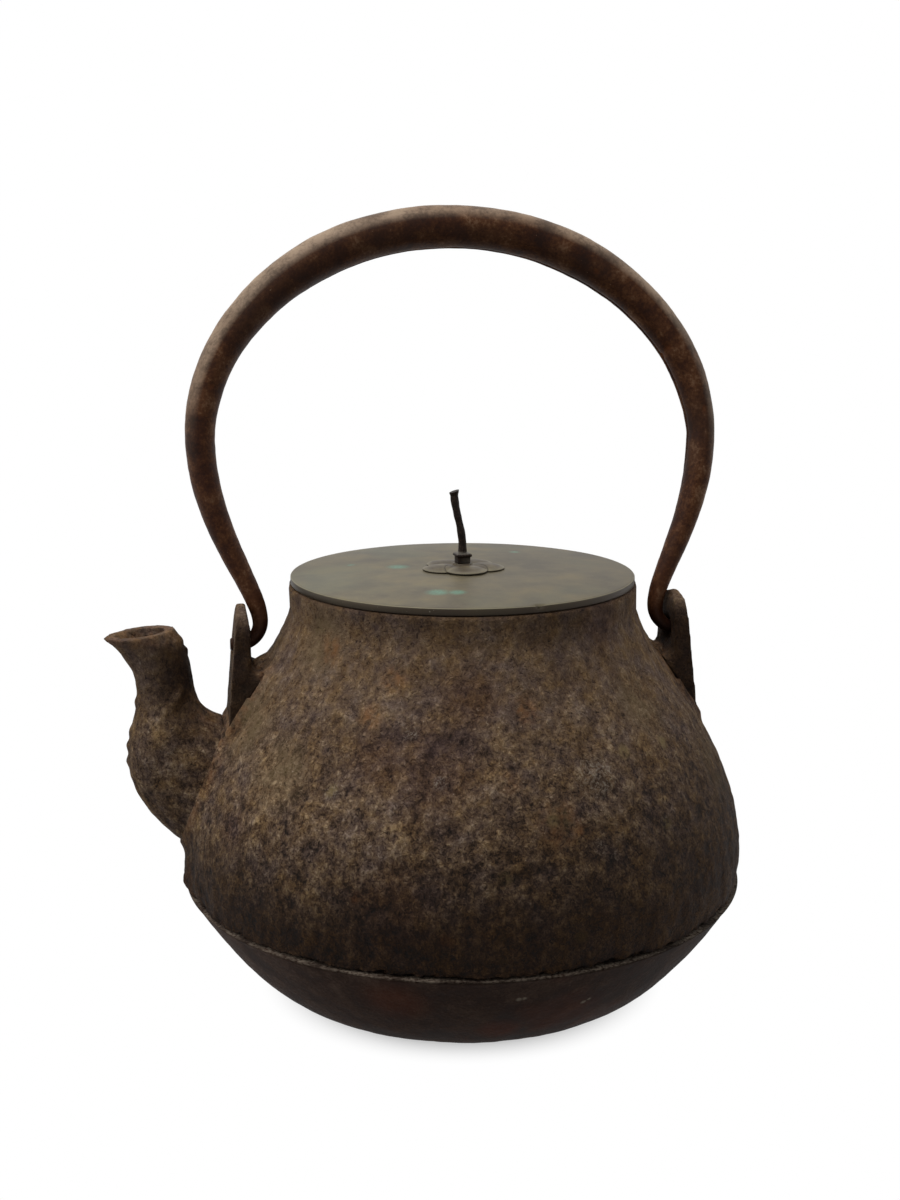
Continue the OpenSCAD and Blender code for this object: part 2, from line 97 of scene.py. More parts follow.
def mesh_object(name, bm):
    """Turns a bmesh into an object of the scene, smoothly shaded."""
    mesh = bpy.data.meshes.new(name)
    bm.to_mesh(mesh)
    bm.free()
    mesh.shade_smooth()
    piece = bpy.data.objects.new(name, mesh)
    bpy.context.scene.collection.objects.link(piece)
    return piece


def applied(piece):
    """Makes the modifiers of a piece part of its mesh."""
    depsgraph = bpy.context.evaluated_depsgraph_get()
    mesh = bpy.data.meshes.new_from_object(piece.evaluated_get(depsgraph))
    piece.modifiers.clear()
    piece.data = mesh
    mesh.shade_smooth()
    return piece


def even_mesh(piece, voxel, softening):
    """Gives a closed piece an even mesh with softened edges, ready for a cast skin."""
    remesh = piece.modifiers.new("even mesh", "REMESH")
    remesh.mode = "VOXEL"
    remesh.voxel_size = voxel
    soften = piece.modifiers.new("soft edges", "SMOOTH")
    soften.iterations = softening
    return applied(piece)


def copy_of(name, node_name):
    """A CAD node's form as a new piece, with its loose triangles joined."""
    bm = bmesh.new()
    bm.from_mesh(frame["nodes"][node_name].data)
    bmesh.ops.remove_doubles(bm, verts=bm.verts, dist=0.001 * MM)
    return mesh_object(name, bm)


def surface_of(node_name):
    """Search tree over a CAD node's surface."""
    bm = bmesh.new()
    bm.from_mesh(frame["nodes"][node_name].data)
    tree = BVHTree.FromBMesh(bm)
    bm.free()
    return tree


def evenly(points, count):
    """The same line with count points at equal distances."""
    steps = [0.0]
    for a, b in zip(points, points[1:]):
        steps.append(steps[-1] + (b - a).length)
    out = []
    k = 0
    for i in range(count):
        at = steps[-1] * i / (count - 1)
        while k < len(points) - 2 and steps[k + 1] < at:
            k += 1
        out.append(points[k].lerp(points[k + 1], (at - steps[k]) / max(steps[k + 1] - steps[k], 1e-9)))
    return out


def turned_outline(node_name, low, high, count):
    """Outline of a turned node in the XZ plane, read by rays towards the axis at the seam's height.
    low and high are the angles of the first and last ray over the horizon."""
    tree = surface_of(node_name)
    middle = Vector((0, 0, SEAM_H))
    found = []
    for i in range(RAYS + 1):
        a = mix(low, high, i / RAYS)
        away = Vector((math.cos(a), 0, math.sin(a)))
        hit = tree.ray_cast(middle + away * 0.3, -away)[0]
        if hit is not None:
            found.append(hit)
    line = evenly(found, count)
    inner = [(a + 2 * b + c) / 4 for a, b, c in zip(line, line[1:], line[2:])]
    return [line[0], *inner, line[-1]]


def inner_line(outline):
    """The outline moved in by the wall's thickness."""
    out = []
    for i, p in enumerate(outline):
        along = outline[min(i + 1, len(outline) - 1)] - outline[max(i - 1, 0)]
        side = Vector((-along.z, 0, along.x)).normalized()
        if side.dot(Vector((0, 0, SEAM_H)) - p) < 0:
            side = -side
        out.append(p + side * WALL)
    return out


def turned(name, outline, steps, closed):
    """Solid of revolution about Z through the points of an outline."""
    bm = bmesh.new()
    verts = [bm.verts.new(p) for p in outline]
    edges = [bm.edges.new(pair) for pair in zip(verts, verts[1:])]
    if closed:
        edges.append(bm.edges.new((verts[-1], verts[0])))
    bmesh.ops.spin(
        bm, geom=verts + edges, cent=(0, 0, 0), axis=UP, dvec=(0, 0, 0),
        angle=2 * math.pi, steps=steps, use_merge=True,
    )
    bmesh.ops.remove_doubles(bm, verts=bm.verts, dist=0.002 * MM)
    bmesh.ops.recalc_face_normals(bm, faces=bm.faces)
    return mesh_object(name, bm)


def swept(name, places, corners):
    """Tube through unit circles, each put along a path by a matrix of places. Its ends are open."""
    bm = bmesh.new()
    rings = []
    for place in places:
        made = bmesh.ops.create_circle(bm, radius=1, segments=corners, matrix=place)
        ring = set(made["verts"])
        linked = {edge for vert in ring for edge in vert.link_edges}
        rings.append([edge for edge in linked if ring.issuperset(edge.verts)])
    for a, b in zip(rings, rings[1:]):
        bmesh.ops.bridge_loops(bm, edges=a + b)
    bmesh.ops.recalc_face_normals(bm, faces=bm.faces)
    return mesh_object(name, bm)


def with_ends(piece):
    """Closes the open ends of a swept piece, with a sharp edge round them."""
    bm = bmesh.new()
    bm.from_mesh(piece.data)
    bmesh.ops.holes_fill(bm, edges=[edge for edge in bm.edges if edge.is_boundary])
    bmesh.ops.recalc_face_normals(bm, faces=bm.faces)
    bm.to_mesh(piece.data)
    bm.free()
    piece.data.set_sharp_from_angle(angle=math.radians(60))


def weathered(piece, surface):
    """Moves each point of a piece along its normal, and marks it for its material. surface(point, normal)
    gives the shift, and from 0 to 1 how high or worn the skin is or how strong its painted highlight,
    how rusty, and how dark its soot and painted shade make it."""
    mesh = piece.data
    before = [(vert.co.copy(), vert.normal.copy()) for vert in mesh.vertices]
    found = [surface(p, n) for p, n in before]
    for k, name in enumerate(("relief", "rust", "soot_and_shade"), 1):
        marks = mesh.attributes.new(name, "FLOAT", "POINT")
        marks.data.foreach_set("value", [row[k] for row in found])
    places = []
    for (p, n), row in zip(before, found):
        places.extend(p + n * row[0])
    mesh.vertices.foreach_set("co", places)
    mesh.update()


def dress(piece, body, slot, material, *nodes):
    """Gives a piece its material, its body and the CAD nodes that it stands for. Its slot is not used."""
    piece.data.materials.clear()
    piece.data.materials.append(material)
    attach(piece, body)
    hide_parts(*nodes)


# ---------- tools for materials ----------

def colour(code):
    """sRGB hex to a linear colour."""
    parts = [int(code[i:i + 2], 16) / 255 for i in (1, 3, 5)]
    return tuple(c / 12.92 if c <= 0.04045 else ((c + 0.055) / 1.055) ** 2.4 for c in parts) + (1,)


def node(tree, kind, inputs=(), out=0, stops=None, **settings):
    """Adds a node with its settings and links, and gives one of its outputs. An input is a value, a hex
    colour or another node's output. stops are the places and colours of a colour ramp, in order."""
    made = tree.nodes.new("ShaderNode" + kind)
    for key, value in settings.items():
        setattr(made, key, value)
    for key, value in dict(inputs).items():
        if isinstance(value, bpy.types.NodeSocket):
            tree.links.new(value, made.inputs[key])
        else:
            made.inputs[key].default_value = colour(value) if isinstance(value, str) else value
    if stops:
        ramp = made.color_ramp.elements
        ramp.remove(ramp[1])
        ramp[0].position = stops[0][0]
        for place, _ in stops[1:]:
            ramp.new(place)
        for element, (_, shade) in zip(ramp, stops):
            element.color = colour(shade)
    return made.outputs[out]


def finish_of(name):
    """A new material with its Principled shader, and the coordinates of the piece that wears it."""
    material = bpy.data.materials.new(name)
    material.use_nodes = True
    tree = material.node_tree
    return material, tree, tree.nodes["Principled BSDF"], node(tree, "TexCoord", out="Object")


def finished(tree, shader, skin, bump, sheen):
    """Gives the shader its colour and its bump, and the sheen's values by the names of its inputs."""
    tree.links.new(skin, shader.inputs["Base Color"])
    tree.links.new(bump, shader.inputs["Normal"])
    for name, value in sheen.items():
        shader.inputs[name].default_value = value


def spots(tree, place, marks):
    """1 in the middle of each mark and 0 past its edge. A mark is x, y, z and radius in millimetres."""
    share = 0.0
    for x, y, z, r in marks:
        gap = node(tree, "VectorMath", {0: place, 1: (x * MM, y * MM, z * MM)}, out="Value",
                   operation="DISTANCE")
        mark = node(tree, "MapRange", {"Value": gap, "From Min": r * MM, "From Max": 0.2 * r * MM},
                    interpolation_type="SMOOTHSTEP")
        share = node(tree, "Math", {0: share, 1: mark}, operation="MAXIMUM")
    return share


# How a Mix node lays a colour over another, and how it tints one by another
OVER = {"out": 2, "data_type": "RGBA"}
TINTED = {"out": 2, "data_type": "RGBA", "blend_type": "MULTIPLY"}

# Marks on the body, in millimetres: x, y, z and radius
RUST_BLOOM = [
    (-32, -48, 92, 5), (6, -56, 94, 5), (0, -67, 79, 4), (12, -71, 69, 8), (-39, -68, 52, 2.4),
    (-18, -78, 43, 3.2), (17, -71, 67, 3), (-40, -30, 105, 6), (-26, -46, 101, 5), (-79, -9, 37, 8),
]
OCHRE_DUST = [
    (-61, -18, 84, 16), (-43, -26, 107, 14), (40, -43, 91, 12), (-55, -40, 76, 14), (32, -56, 82, 3),
    (45, -47, 81, 3), (-3, -77, 58, 3), (16, -78, 42, 3), (-4, -80, 44, 2.4), (-4, -79, 38, 2),
    (12, -70, 70, 5), (63, -30, 68, 14), (20, 60, 80, 22), (-50, 40, 85, 18), (55, 45, 70, 15),
]
BARE_IRON = [
    (-19, -62, 82, 20), (-8, -54, 97, 13), (-31, -56, 83, 13), (-68, -36, 60, 8), (30, -38, 112, 12),
    (0, 70, 70, 24), (40, 20, 95, 14), (-30, -72, 50, 16),
]
SCALE_CHIPS = [
    (32, -56, 82, 2.6), (45, -47, 81, 2.6), (-3, -77, 58, 2.4), (16, -78, 42, 2.6), (-4, -80, 44, 2),
    (10, -71, 70, 2.6), (42, -61, 64, 2.4), (50, -48, 68, 2.4), (-43, -54, 75, 2.6), (20, 70, 62, 2.6),
]
PALE_SCALE = [
    (23, -63, 78, 8), (-17, -64, 79, 2.6), (26, -72, 60, 2.6), (42, -61, 64, 3), (22, -72, 63, 3),
    (-23, -55, 89, 2.4), (-43, -54, 75, 3), (-62, 20, 84, 5), (30, 66, 70, 5),
]


# ---------- materials ----------

def rough_cast_iron():
    """Sand-cast iron that was never machined. The mould's sand leaves ragged grains about 1 mm wide with
    dark pits between. Rust has browned it: ochre dust on the shoulder, orange bloom, flaked chips,
    purple-grey iron in between. Soot and painted shade darken it towards the hearth; painted shade also
    lies under the lid's edge, behind the spout's neck and on the lugs' faces. Towards the top the skin is
    evener, and painted light makes it lighter there."""
    material, tree, shader, place = finish_of("rough_cast_iron")
    drawn = node(tree, "Mapping", {"Vector": place, "Scale": (1, 1, 0.85)})
    fine = node(tree, "TexNoise", {"Vector": drawn, "Scale": 1 / (0.85 * MM), "Detail": 3, "Roughness": 0.75,
                                   "Distortion": 0.8})
    grains = node(tree, "TexNoise", {"Vector": drawn, "Scale": 1 / (2.3 * MM), "Detail": 2})
    heap = node(tree, "TexNoise", {"Vector": place, "Scale": 1 / (5 * MM), "Detail": 3, "Roughness": 0.6})
    hue = node(tree, "TexNoise", {"Vector": place, "Scale": 1 / (7 * MM), "Detail": 4, "Roughness": 0.7})
    relief = node(tree, "Attribute", attribute_name="relief", out="Fac")
    rusty = node(tree, "Attribute", attribute_name="rust", out="Fac")
    soot_and_shade = node(tree, "Attribute", attribute_name="soot_and_shade", out="Fac")

    shade = node(tree, "Math", {0: fine, 1: 1.8, 2: -1.31}, operation="MULTIPLY_ADD")
    shade = node(tree, "Math", {0: grains, 1: 1.05, 2: shade}, operation="MULTIPLY_ADD")
    shade = node(tree, "Math", {0: heap, 1: 0.5, 2: shade}, operation="MULTIPLY_ADD")
    shade = node(tree, "Math", {0: relief, 1: 0.4, 2: shade}, operation="MULTIPLY_ADD")
    # towards the top the skin is drawn evener, and lighter as painted light from above
    high = node(tree, "SeparateXYZ", {"Vector": place}, out="Z")
    calm_and_painted_light = node(tree, "MapRange", {"Value": high, "From Min": 62 * MM, "From Max": 104 * MM, "To Max": 0.5})
    shade = node(tree, "Mix", {0: calm_and_painted_light, 2: shade, 3: 0.67}, out=0)
    skin = node(tree, "ValToRGB", {"Fac": shade}, stops=(
        (0.0, "#130d0a"), (0.26, "#33281f"), (0.5, "#604f41"), (0.72, "#83705a"), (1.0, "#b3a184"),
    ))
    tint = node(tree, "ValToRGB", {"Fac": hue}, stops=(
        (0.36, "#ffeed2"), (0.5, "#fff6f1"), (0.64, "#e9e5f6"),
    ))
    skin = node(tree, "Mix", {0: 1.0, 6: skin, 7: tint}, **TINTED)

    bare = spots(tree, place, BARE_IRON)
    bare = node(tree, "Math", {0: bare, 1: 0.7}, operation="MULTIPLY")
    skin = node(tree, "Mix", {0: bare, 6: skin, 7: "#c6b9c4"}, **TINTED)
    rough = node(tree, "MapRange", {"Value": hue, "From Min": 0.4, "From Max": 0.62, "To Max": 0.5})
    dusty = spots(tree, place, OCHRE_DUST)
    dusty = node(tree, "Math", {0: dusty, 1: rough}, operation="MULTIPLY")
    skin = node(tree, "Mix", {0: dusty, 6: skin, 7: "#857049"}, **OVER)
    bloom = spots(tree, place, RUST_BLOOM)
    bloom = node(tree, "Math", {0: bloom, 1: rusty}, operation="MAXIMUM")
    ragged = node(tree, "MapRange", {"Value": grains, "From Min": 0.38, "From Max": 0.66, "To Max": 0.6})
    bloom = node(tree, "Math", {0: bloom, 1: ragged}, operation="MULTIPLY")
    skin = node(tree, "Mix", {0: bloom, 6: skin, 7: "#875833"}, **OVER)
    pale = spots(tree, place, PALE_SCALE)
    flecks = node(tree, "MapRange", {"Value": fine, "From Min": 0.5, "From Max": 0.64, "To Max": 0.6})
    pale = node(tree, "Math", {0: pale, 1: flecks}, operation="MULTIPLY")
    skin = node(tree, "Mix", {0: pale, 6: skin, 7: "#a39c90"}, **OVER)
    chips = spots(tree, place, SCALE_CHIPS)
    flaked = node(tree, "MapRange", {"Value": grains, "From Min": 0.36, "From Max": 0.5, "To Max": 0.75})
    chips = node(tree, "Math", {0: chips, 1: flaked}, operation="MULTIPLY")
    skin = node(tree, "Mix", {0: chips, 6: skin, 7: "#8d7a56"}, **OVER)
    pits = node(tree, "MapRange", {"Value": fine, "From Min": 0.4, "From Max": 0.31, "To Max": 0.7})
    skin = node(tree, "Mix", {0: pits, 6: skin, 7: "#18110d"}, **OVER)
    glints = node(tree, "MapRange", {"Value": fine, "From Min": 0.67, "From Max": 0.76, "To Max": 0.5})
    skin = node(tree, "Mix", {0: glints, 6: skin, 7: "#b5aca0"}, **OVER)
    # soot and painted shade darken the skin
    skin = node(tree, "Mix", {0: soot_and_shade, 6: skin, 7: "#7d7168"}, **TINTED)
    height = node(tree, "Math", {0: fine, 1: 0.7, 2: heap}, operation="MULTIPLY_ADD")
    height = node(tree, "Math", {0: grains, 1: 0.6, 2: height}, operation="MULTIPLY_ADD")
    bump = node(tree, "Bump", {"Strength": 1.0, "Distance": 1.1 * MM, "Height": height})
    finished(tree, shader, skin, bump, {"Roughness": 0.85, "Specular IOR Level": 0.15})
    return material


def bowl_iron():
    """Cast iron from the finer sand of the lower mould, sooty from the hearth. Nearly black brown with
    rust blotches and a few scratches, a painted highlight along the ledge at the seam, and painted
    shade towards the bottom and the +x side."""
    material, tree, shader, place = finish_of("bowl_iron")
    fine = node(tree, "TexNoise", {"Vector": place, "Scale": 1 / (0.9 * MM), "Detail": 3, "Roughness": 0.6})
    patch = node(tree, "TexNoise", {"Vector": place, "Scale": 1 / (8 * MM), "Detail": 4, "Roughness": 0.6})
    cloud = node(tree, "TexNoise", {"Vector": place, "Scale": 1 / (24 * MM), "Detail": 2})
    shade = node(tree, "Math", {0: fine, 1: 0.5, 2: patch}, operation="MULTIPLY_ADD")
    skin = node(tree, "ValToRGB", {"Fac": shade}, stops=(
        (0.5, "#1d1310"), (0.74, "#35261f"), (1.0, "#5c4b41"),
    ))
    # painted shade: darker towards the bottom
    high = node(tree, "SeparateXYZ", {"Vector": place}, out="Z")
    painted_low_shade = node(tree, "MapRange", {"Value": high, "From Min": SEAM_H - 8 * MM, "From Max": 8 * MM})
    skin = node(tree, "Mix", {0: painted_low_shade, 6: skin, 7: "#a8907c"}, **TINTED)
    # painted shade: darker towards +x
    across = node(tree, "SeparateXYZ", {"Vector": place}, out="X")
    painted_shade_right = node(tree, "MapRange", {"Value": across, "From Min": -50 * MM, "From Max": 50 * MM})
    skin = node(tree, "Mix", {0: painted_shade_right, 6: skin, 7: "#9a8878"}, **TINTED)
    red = spots(tree, place, [(-29, -67, 24, 12), (-2, -65, 12, 8), (40, 50, 14, 14), (-50, 30, 18, 12)])
    redder = node(tree, "MapRange", {"Value": cloud, "From Min": 0.56, "From Max": 0.7, "To Max": 0.5})
    red = node(tree, "Math", {0: red, 1: redder}, operation="MAXIMUM")
    red = node(tree, "Math", {0: red, 1: patch}, operation="MULTIPLY")
    skin = node(tree, "Mix", {0: red, 6: skin, 7: "#4c2616"}, **OVER)
    scratches = spots(tree, place, [
        (1, -74, 25, 1.1), (2.4, -74, 25.2, 0.9), (19, -68, 20, 1.1), (20.5, -68.5, 20.6, 0.9),
        (22, -69, 21, 0.8),
    ])
    # painted highlight along the top of the ledge at the seam, broken up by noise, next to the pale scratches
    ledge = node(tree, "MapRange", {
        "Value": high, "From Min": SEAM_H - 0.9 * MM, "From Max": SEAM_H - 0.1 * MM,
    })
    worn = node(tree, "MapRange", {"Value": fine, "From Min": 0.36, "From Max": 0.6, "To Max": 0.85})
    ledge = node(tree, "Math", {0: ledge, 1: worn}, operation="MULTIPLY")
    broken = node(tree, "MapRange", {"Value": patch, "From Min": 0.4, "From Max": 0.58, "To Min": 0.2})
    ledge = node(tree, "Math", {0: ledge, 1: broken}, operation="MULTIPLY")
    bright = node(tree, "Math", {0: scratches, 1: ledge}, operation="MAXIMUM")
    skin = node(tree, "Mix", {0: bright, 6: skin, 7: "#8a7e70"}, **OVER)
    height = node(tree, "Math", {0: fine, 1: 0.5, 2: patch}, operation="MULTIPLY_ADD")
    bump = node(tree, "Bump", {"Strength": 0.8, "Distance": 0.35 * MM, "Height": height})
    finished(tree, shader, skin, bump, {"Roughness": 0.75, "Specular IOR Level": 0.06})
    return material


def forged_iron():
    """Sheet iron rolled and forged hot, then oiled and handled for years. Reddish dark brown satin with
    fine scale and small bright chips, rubbed pale where it is worn and painted pale there as a highlight
    from above. The hooks darken towards the hinge."""
    material, tree, shader, place = finish_of("forged_iron")
    fine = node(tree, "TexNoise", {"Vector": place, "Scale": 1 / (0.8 * MM), "Detail": 3, "Roughness": 0.65})
    patch = node(tree, "TexNoise", {"Vector": place, "Scale": 1 / (7 * MM), "Detail": 4, "Roughness": 0.65})
    cloud = node(tree, "TexNoise", {"Vector": place, "Scale": 1 / (30 * MM), "Detail": 2})
    rusty = node(tree, "Attribute", attribute_name="rust", out="Fac")
    worn = node(tree, "Attribute", attribute_name="relief", out="Fac")
    shade = node(tree, "Math", {0: fine, 1: 0.45, 2: patch}, operation="MULTIPLY_ADD")
    skin = node(tree, "ValToRGB", {"Fac": shade}, stops=(
        (0.5, "#23110a"), (0.66, "#3a2013"), (0.8, "#573722"), (0.98, "#86664e"),
    ))
    dark = node(tree, "MapRange", {"Value": cloud, "From Min": 0.45, "From Max": 0.65, "To Max": 0.6})
    skin = node(tree, "Mix", {0: dark, 6: skin, 7: "#30211a"}, **OVER)
    skin = node(tree, "Mix", {0: rusty, 6: skin, 7: "#7d4a2c"}, **OVER)
    # pale on the arch's outer side: wear, and a painted highlight from above
    rubbed = node(tree, "MapRange", {"Value": shade, "From Min": 0.58, "From Max": 0.8, "To Min": 0.45})
    worn = node(tree, "Math", {0: worn, 1: rubbed}, operation="MULTIPLY")
    skin = node(tree, "Mix", {0: worn, 6: skin, 7: "#b29b84"}, **OVER)
    # darker towards the hooks' bends by the hinge
    soot_and_shade = node(tree, "Attribute", attribute_name="soot_and_shade", out="Fac")
    skin = node(tree, "Mix", {0: soot_and_shade, 6: skin, 7: "#6a615c"}, **TINTED)
    chips = node(tree, "MapRange", {"Value": fine, "From Min": 0.71, "From Max": 0.76, "To Max": 0.7})
    skin = node(tree, "Mix", {0: chips, 6: skin, 7: "#a08c78"}, **OVER)
    bump = node(tree, "Bump", {"Strength": 0.7, "Distance": 0.22 * MM, "Height": shade})
    finished(tree, shader, skin, bump, {"Roughness": 0.55, "Specular IOR Level": 0.1})
    return material


def old_bronze():
    """Cast bronze, scraped flat and toned. The patina is an even olive grey satin with faint clouds, a few
    verdigris spots and pale specks. Painted shade darkens the rim's side and the +x side, and a painted
    highlight with rubbing makes the rim pale along its corner."""
    material, tree, shader, place = finish_of("old_bronze")
    fine = node(tree, "TexNoise", {"Vector": place, "Scale": 1 / (0.7 * MM), "Detail": 2, "Roughness": 0.6})
    cloud = node(tree, "TexNoise", {"Vector": place, "Scale": 1 / (13 * MM), "Detail": 4, "Roughness": 0.6})
    tone = node(tree, "TexNoise", {"Vector": place, "Scale": 1 / (28 * MM), "Detail": 2})
    skin = node(tree, "ValToRGB", {"Fac": cloud}, stops=(
        (0.34, "#5f5747"), (0.5, "#6f6650"), (0.68, "#7e7254"),
    ))
    green = node(tree, "MapRange", {"Value": tone, "From Min": 0.5, "From Max": 0.64, "To Max": 0.4})
    skin = node(tree, "Mix", {0: green, 6: skin, 7: "#686a57"}, **OVER)
    # painted shade: darker towards +x
    across = node(tree, "SeparateXYZ", {"Vector": place}, out="X")
    painted_shade_right = node(tree, "MapRange", {"Value": across, "From Min": -LID_R, "From Max": LID_R})
    skin = node(tree, "Mix", {0: painted_shade_right, 6: skin, 7: "#d2cfcc"}, **TINTED)
    # painted shade on the rim's side
    rim = node(tree, "Attribute", attribute_name="soot_and_shade", out="Fac")
    skin = node(tree, "Mix", {0: rim, 6: skin, 7: "#2f251d"}, **OVER)
    # painted highlight with rubbing along the rim's upper corner
    corner = node(tree, "Attribute", attribute_name="relief", out="Fac")
    skin = node(tree, "Mix", {0: corner, 6: skin, 7: "#979079"}, **OVER)
    verdigris = spots(tree, place, [(-17.5, 5, 119, 4.2), (-12, -30, 119, 4.2), (-7, -31, 119, 3.4),
                                    (20, 24, 119, 2.2), (-30, 12, 119, 1.6)])
    ragged = node(tree, "MapRange", {"Value": fine, "From Min": 0.3, "From Max": 0.6, "To Min": 0.3,
                                      "To Max": 0.8})
    verdigris = node(tree, "Math", {0: verdigris, 1: ragged}, operation="MULTIPLY")
    skin = node(tree, "Mix", {0: verdigris, 6: skin, 7: "#6c9a84"}, **OVER)
    specks = node(tree, "MapRange", {"Value": fine, "From Min": 0.72, "From Max": 0.78, "To Max": 0.35})
    skin = node(tree, "Mix", {0: specks, 6: skin, 7: "#b9b29c"}, **OVER)
    bump = node(tree, "Bump", {"Strength": 0.4, "Distance": 0.06 * MM, "Height": fine})
    finished(tree, shader, skin, bump, {"Metallic": 0.2, "Specular IOR Level": 0.2, "Roughness": 0.5})
    return material


def petal_bronze():
    """The same bronze on the flower seat, browner where the lid's polishing never reached. Painted shadow
    darkens the petals' side walls and the groove round the front petal.
    """
    material, tree, shader, place = finish_of("petal_bronze")
    cloud = node(tree, "TexNoise", {"Vector": place, "Scale": 1 / (4 * MM), "Detail": 3, "Roughness": 0.6})
    skin = node(tree, "ValToRGB", {"Fac": cloud}, stops=(
        (0.35, "#4c4338"), (0.5, "#5e5443"), (0.68, "#70664f"),
    ))
    edge = node(tree, "Attribute", attribute_name="relief", out="Fac")
    skin = node(tree, "Mix", {0: edge, 6: skin, 7: "#8f8873"}, **OVER)
    # painted shadow under the petals' edges
    under = node(tree, "Attribute", attribute_name="soot_and_shade", out="Fac")
    skin = node(tree, "Mix", {0: under, 6: skin, 7: "#1c1510"}, **OVER)
    bump = node(tree, "Bump", {"Strength": 0.4, "Distance": 0.08 * MM, "Height": cloud})
    finished(tree, shader, skin, bump, {"Metallic": 0.2, "Specular IOR Level": 0.2, "Roughness": 0.5})
    return material


def dark_bronze():
    """Bronze gone nearly black with age and soot, grey where it is rubbed."""
    material, tree, shader, place = finish_of("dark_bronze")
    fine = node(tree, "TexNoise", {"Vector": place, "Scale": 1 / (0.7 * MM), "Detail": 3, "Roughness": 0.6})
    rubbed = node(tree, "Attribute", attribute_name="relief", out="Fac")
    skin = node(tree, "ValToRGB", {"Fac": fine}, stops=(
        (0.38, "#130d0a"), (0.55, "#251a14"), (0.75, "#4a3d33"),
    ))
    skin = node(tree, "Mix", {0: rubbed, 6: skin, 7: "#8a857b"}, **OVER)
    bump = node(tree, "Bump", {"Strength": 0.6, "Distance": 0.15 * MM, "Height": fine})
    finished(tree, shader, skin, bump, {"Metallic": 0.2, "Specular IOR Level": 0.15, "Roughness": 0.55})
    return material


CAST = rough_cast_iron()
BOWL = bowl_iron()
FORGED = forged_iron()
BRONZE = old_bronze()
PETAL = petal_bronze()
DARK = dark_bronze()


# ---------- body casting ----------

ROOTS = [surface_of(name) for name in ("spout", "lug_spout_side", "lug_far_side")]
FILLET = 4.5 * MM

POUR_HOLE = (-74 * MM, 0, 62.2 * MM)
POUR_R = 8.5 * MM

# Lumps that stand out of the casting: x, y, z, radius and height in millimetres
SHELL_LUMPS = [
    (-78.6, -9, 37, 9, 1.3), (-76, -20, 38, 6, 0.5), (-78, 6, 39, 6, 0.6),
    (-53.5, 0, 95, 5, 1.7), (53.5, 0, 95, 5, 1.7),
]
SPOUT_LUMPS = [
    (-77.6, -1, 103, 2.4, 0.9), (-76.3, 0, 99.8, 2, 0.8), (-92, 0, 85.5, 2.2, 0.6),
    (-93, 1, 77, 2.6, 0.5), (-94, 0, 73, 2.6, 0.5), (-94.5, 0, 68.5, 2.6, 0.5),
]
SCAR = [Vector((-86, -8, 80)) * MM, Vector((-78, -7.5, 90)) * MM]
LIP = Vector((-88.5, 0, 104)) * MM      # middle of the spout's mouth


def root_gap(p):
    """Distance from a point to the nearest spout or lug, up to the fillet's reach."""
    best = FILLET
    if abs(p.x) < 40 * MM or p.z > MOUTH_H - 4 * MM:
        return best
    for tree in ROOTS:
        gap = tree.find_nearest(p, FILLET)[3]
        if gap is not None:
            best = min(best, gap)
    return best


def cast_depth(p):
    """How far the cast skin lies below its highest grains, in millimetres."""
    drawn = Vector((p.x, p.y, 0.6 * p.z))
    wave = 0.30 * grain(p, 24 * MM, 1.0)
    heap = 0.36 * grain(drawn, 6.5 * MM, 2.0)
    pit = 0.34 * grain(drawn, 3 * MM, 3.0)
    return min(SKIN, max(0.0, SKIN / 2 - wave - heap - pit))


def lumps_at(p, lumps):
    """How far the lumps stand out at a point, in metres."""
    out = 0.0
    for x, y, z, r, high in lumps:
        gap = (p - Vector((x, y, z)) * MM).length
        if gap < r * MM:
            out += high * MM * fade(gap, r * MM) * (1 + 0.5 * grain(p, 2.5 * MM, 11.0))
    return out


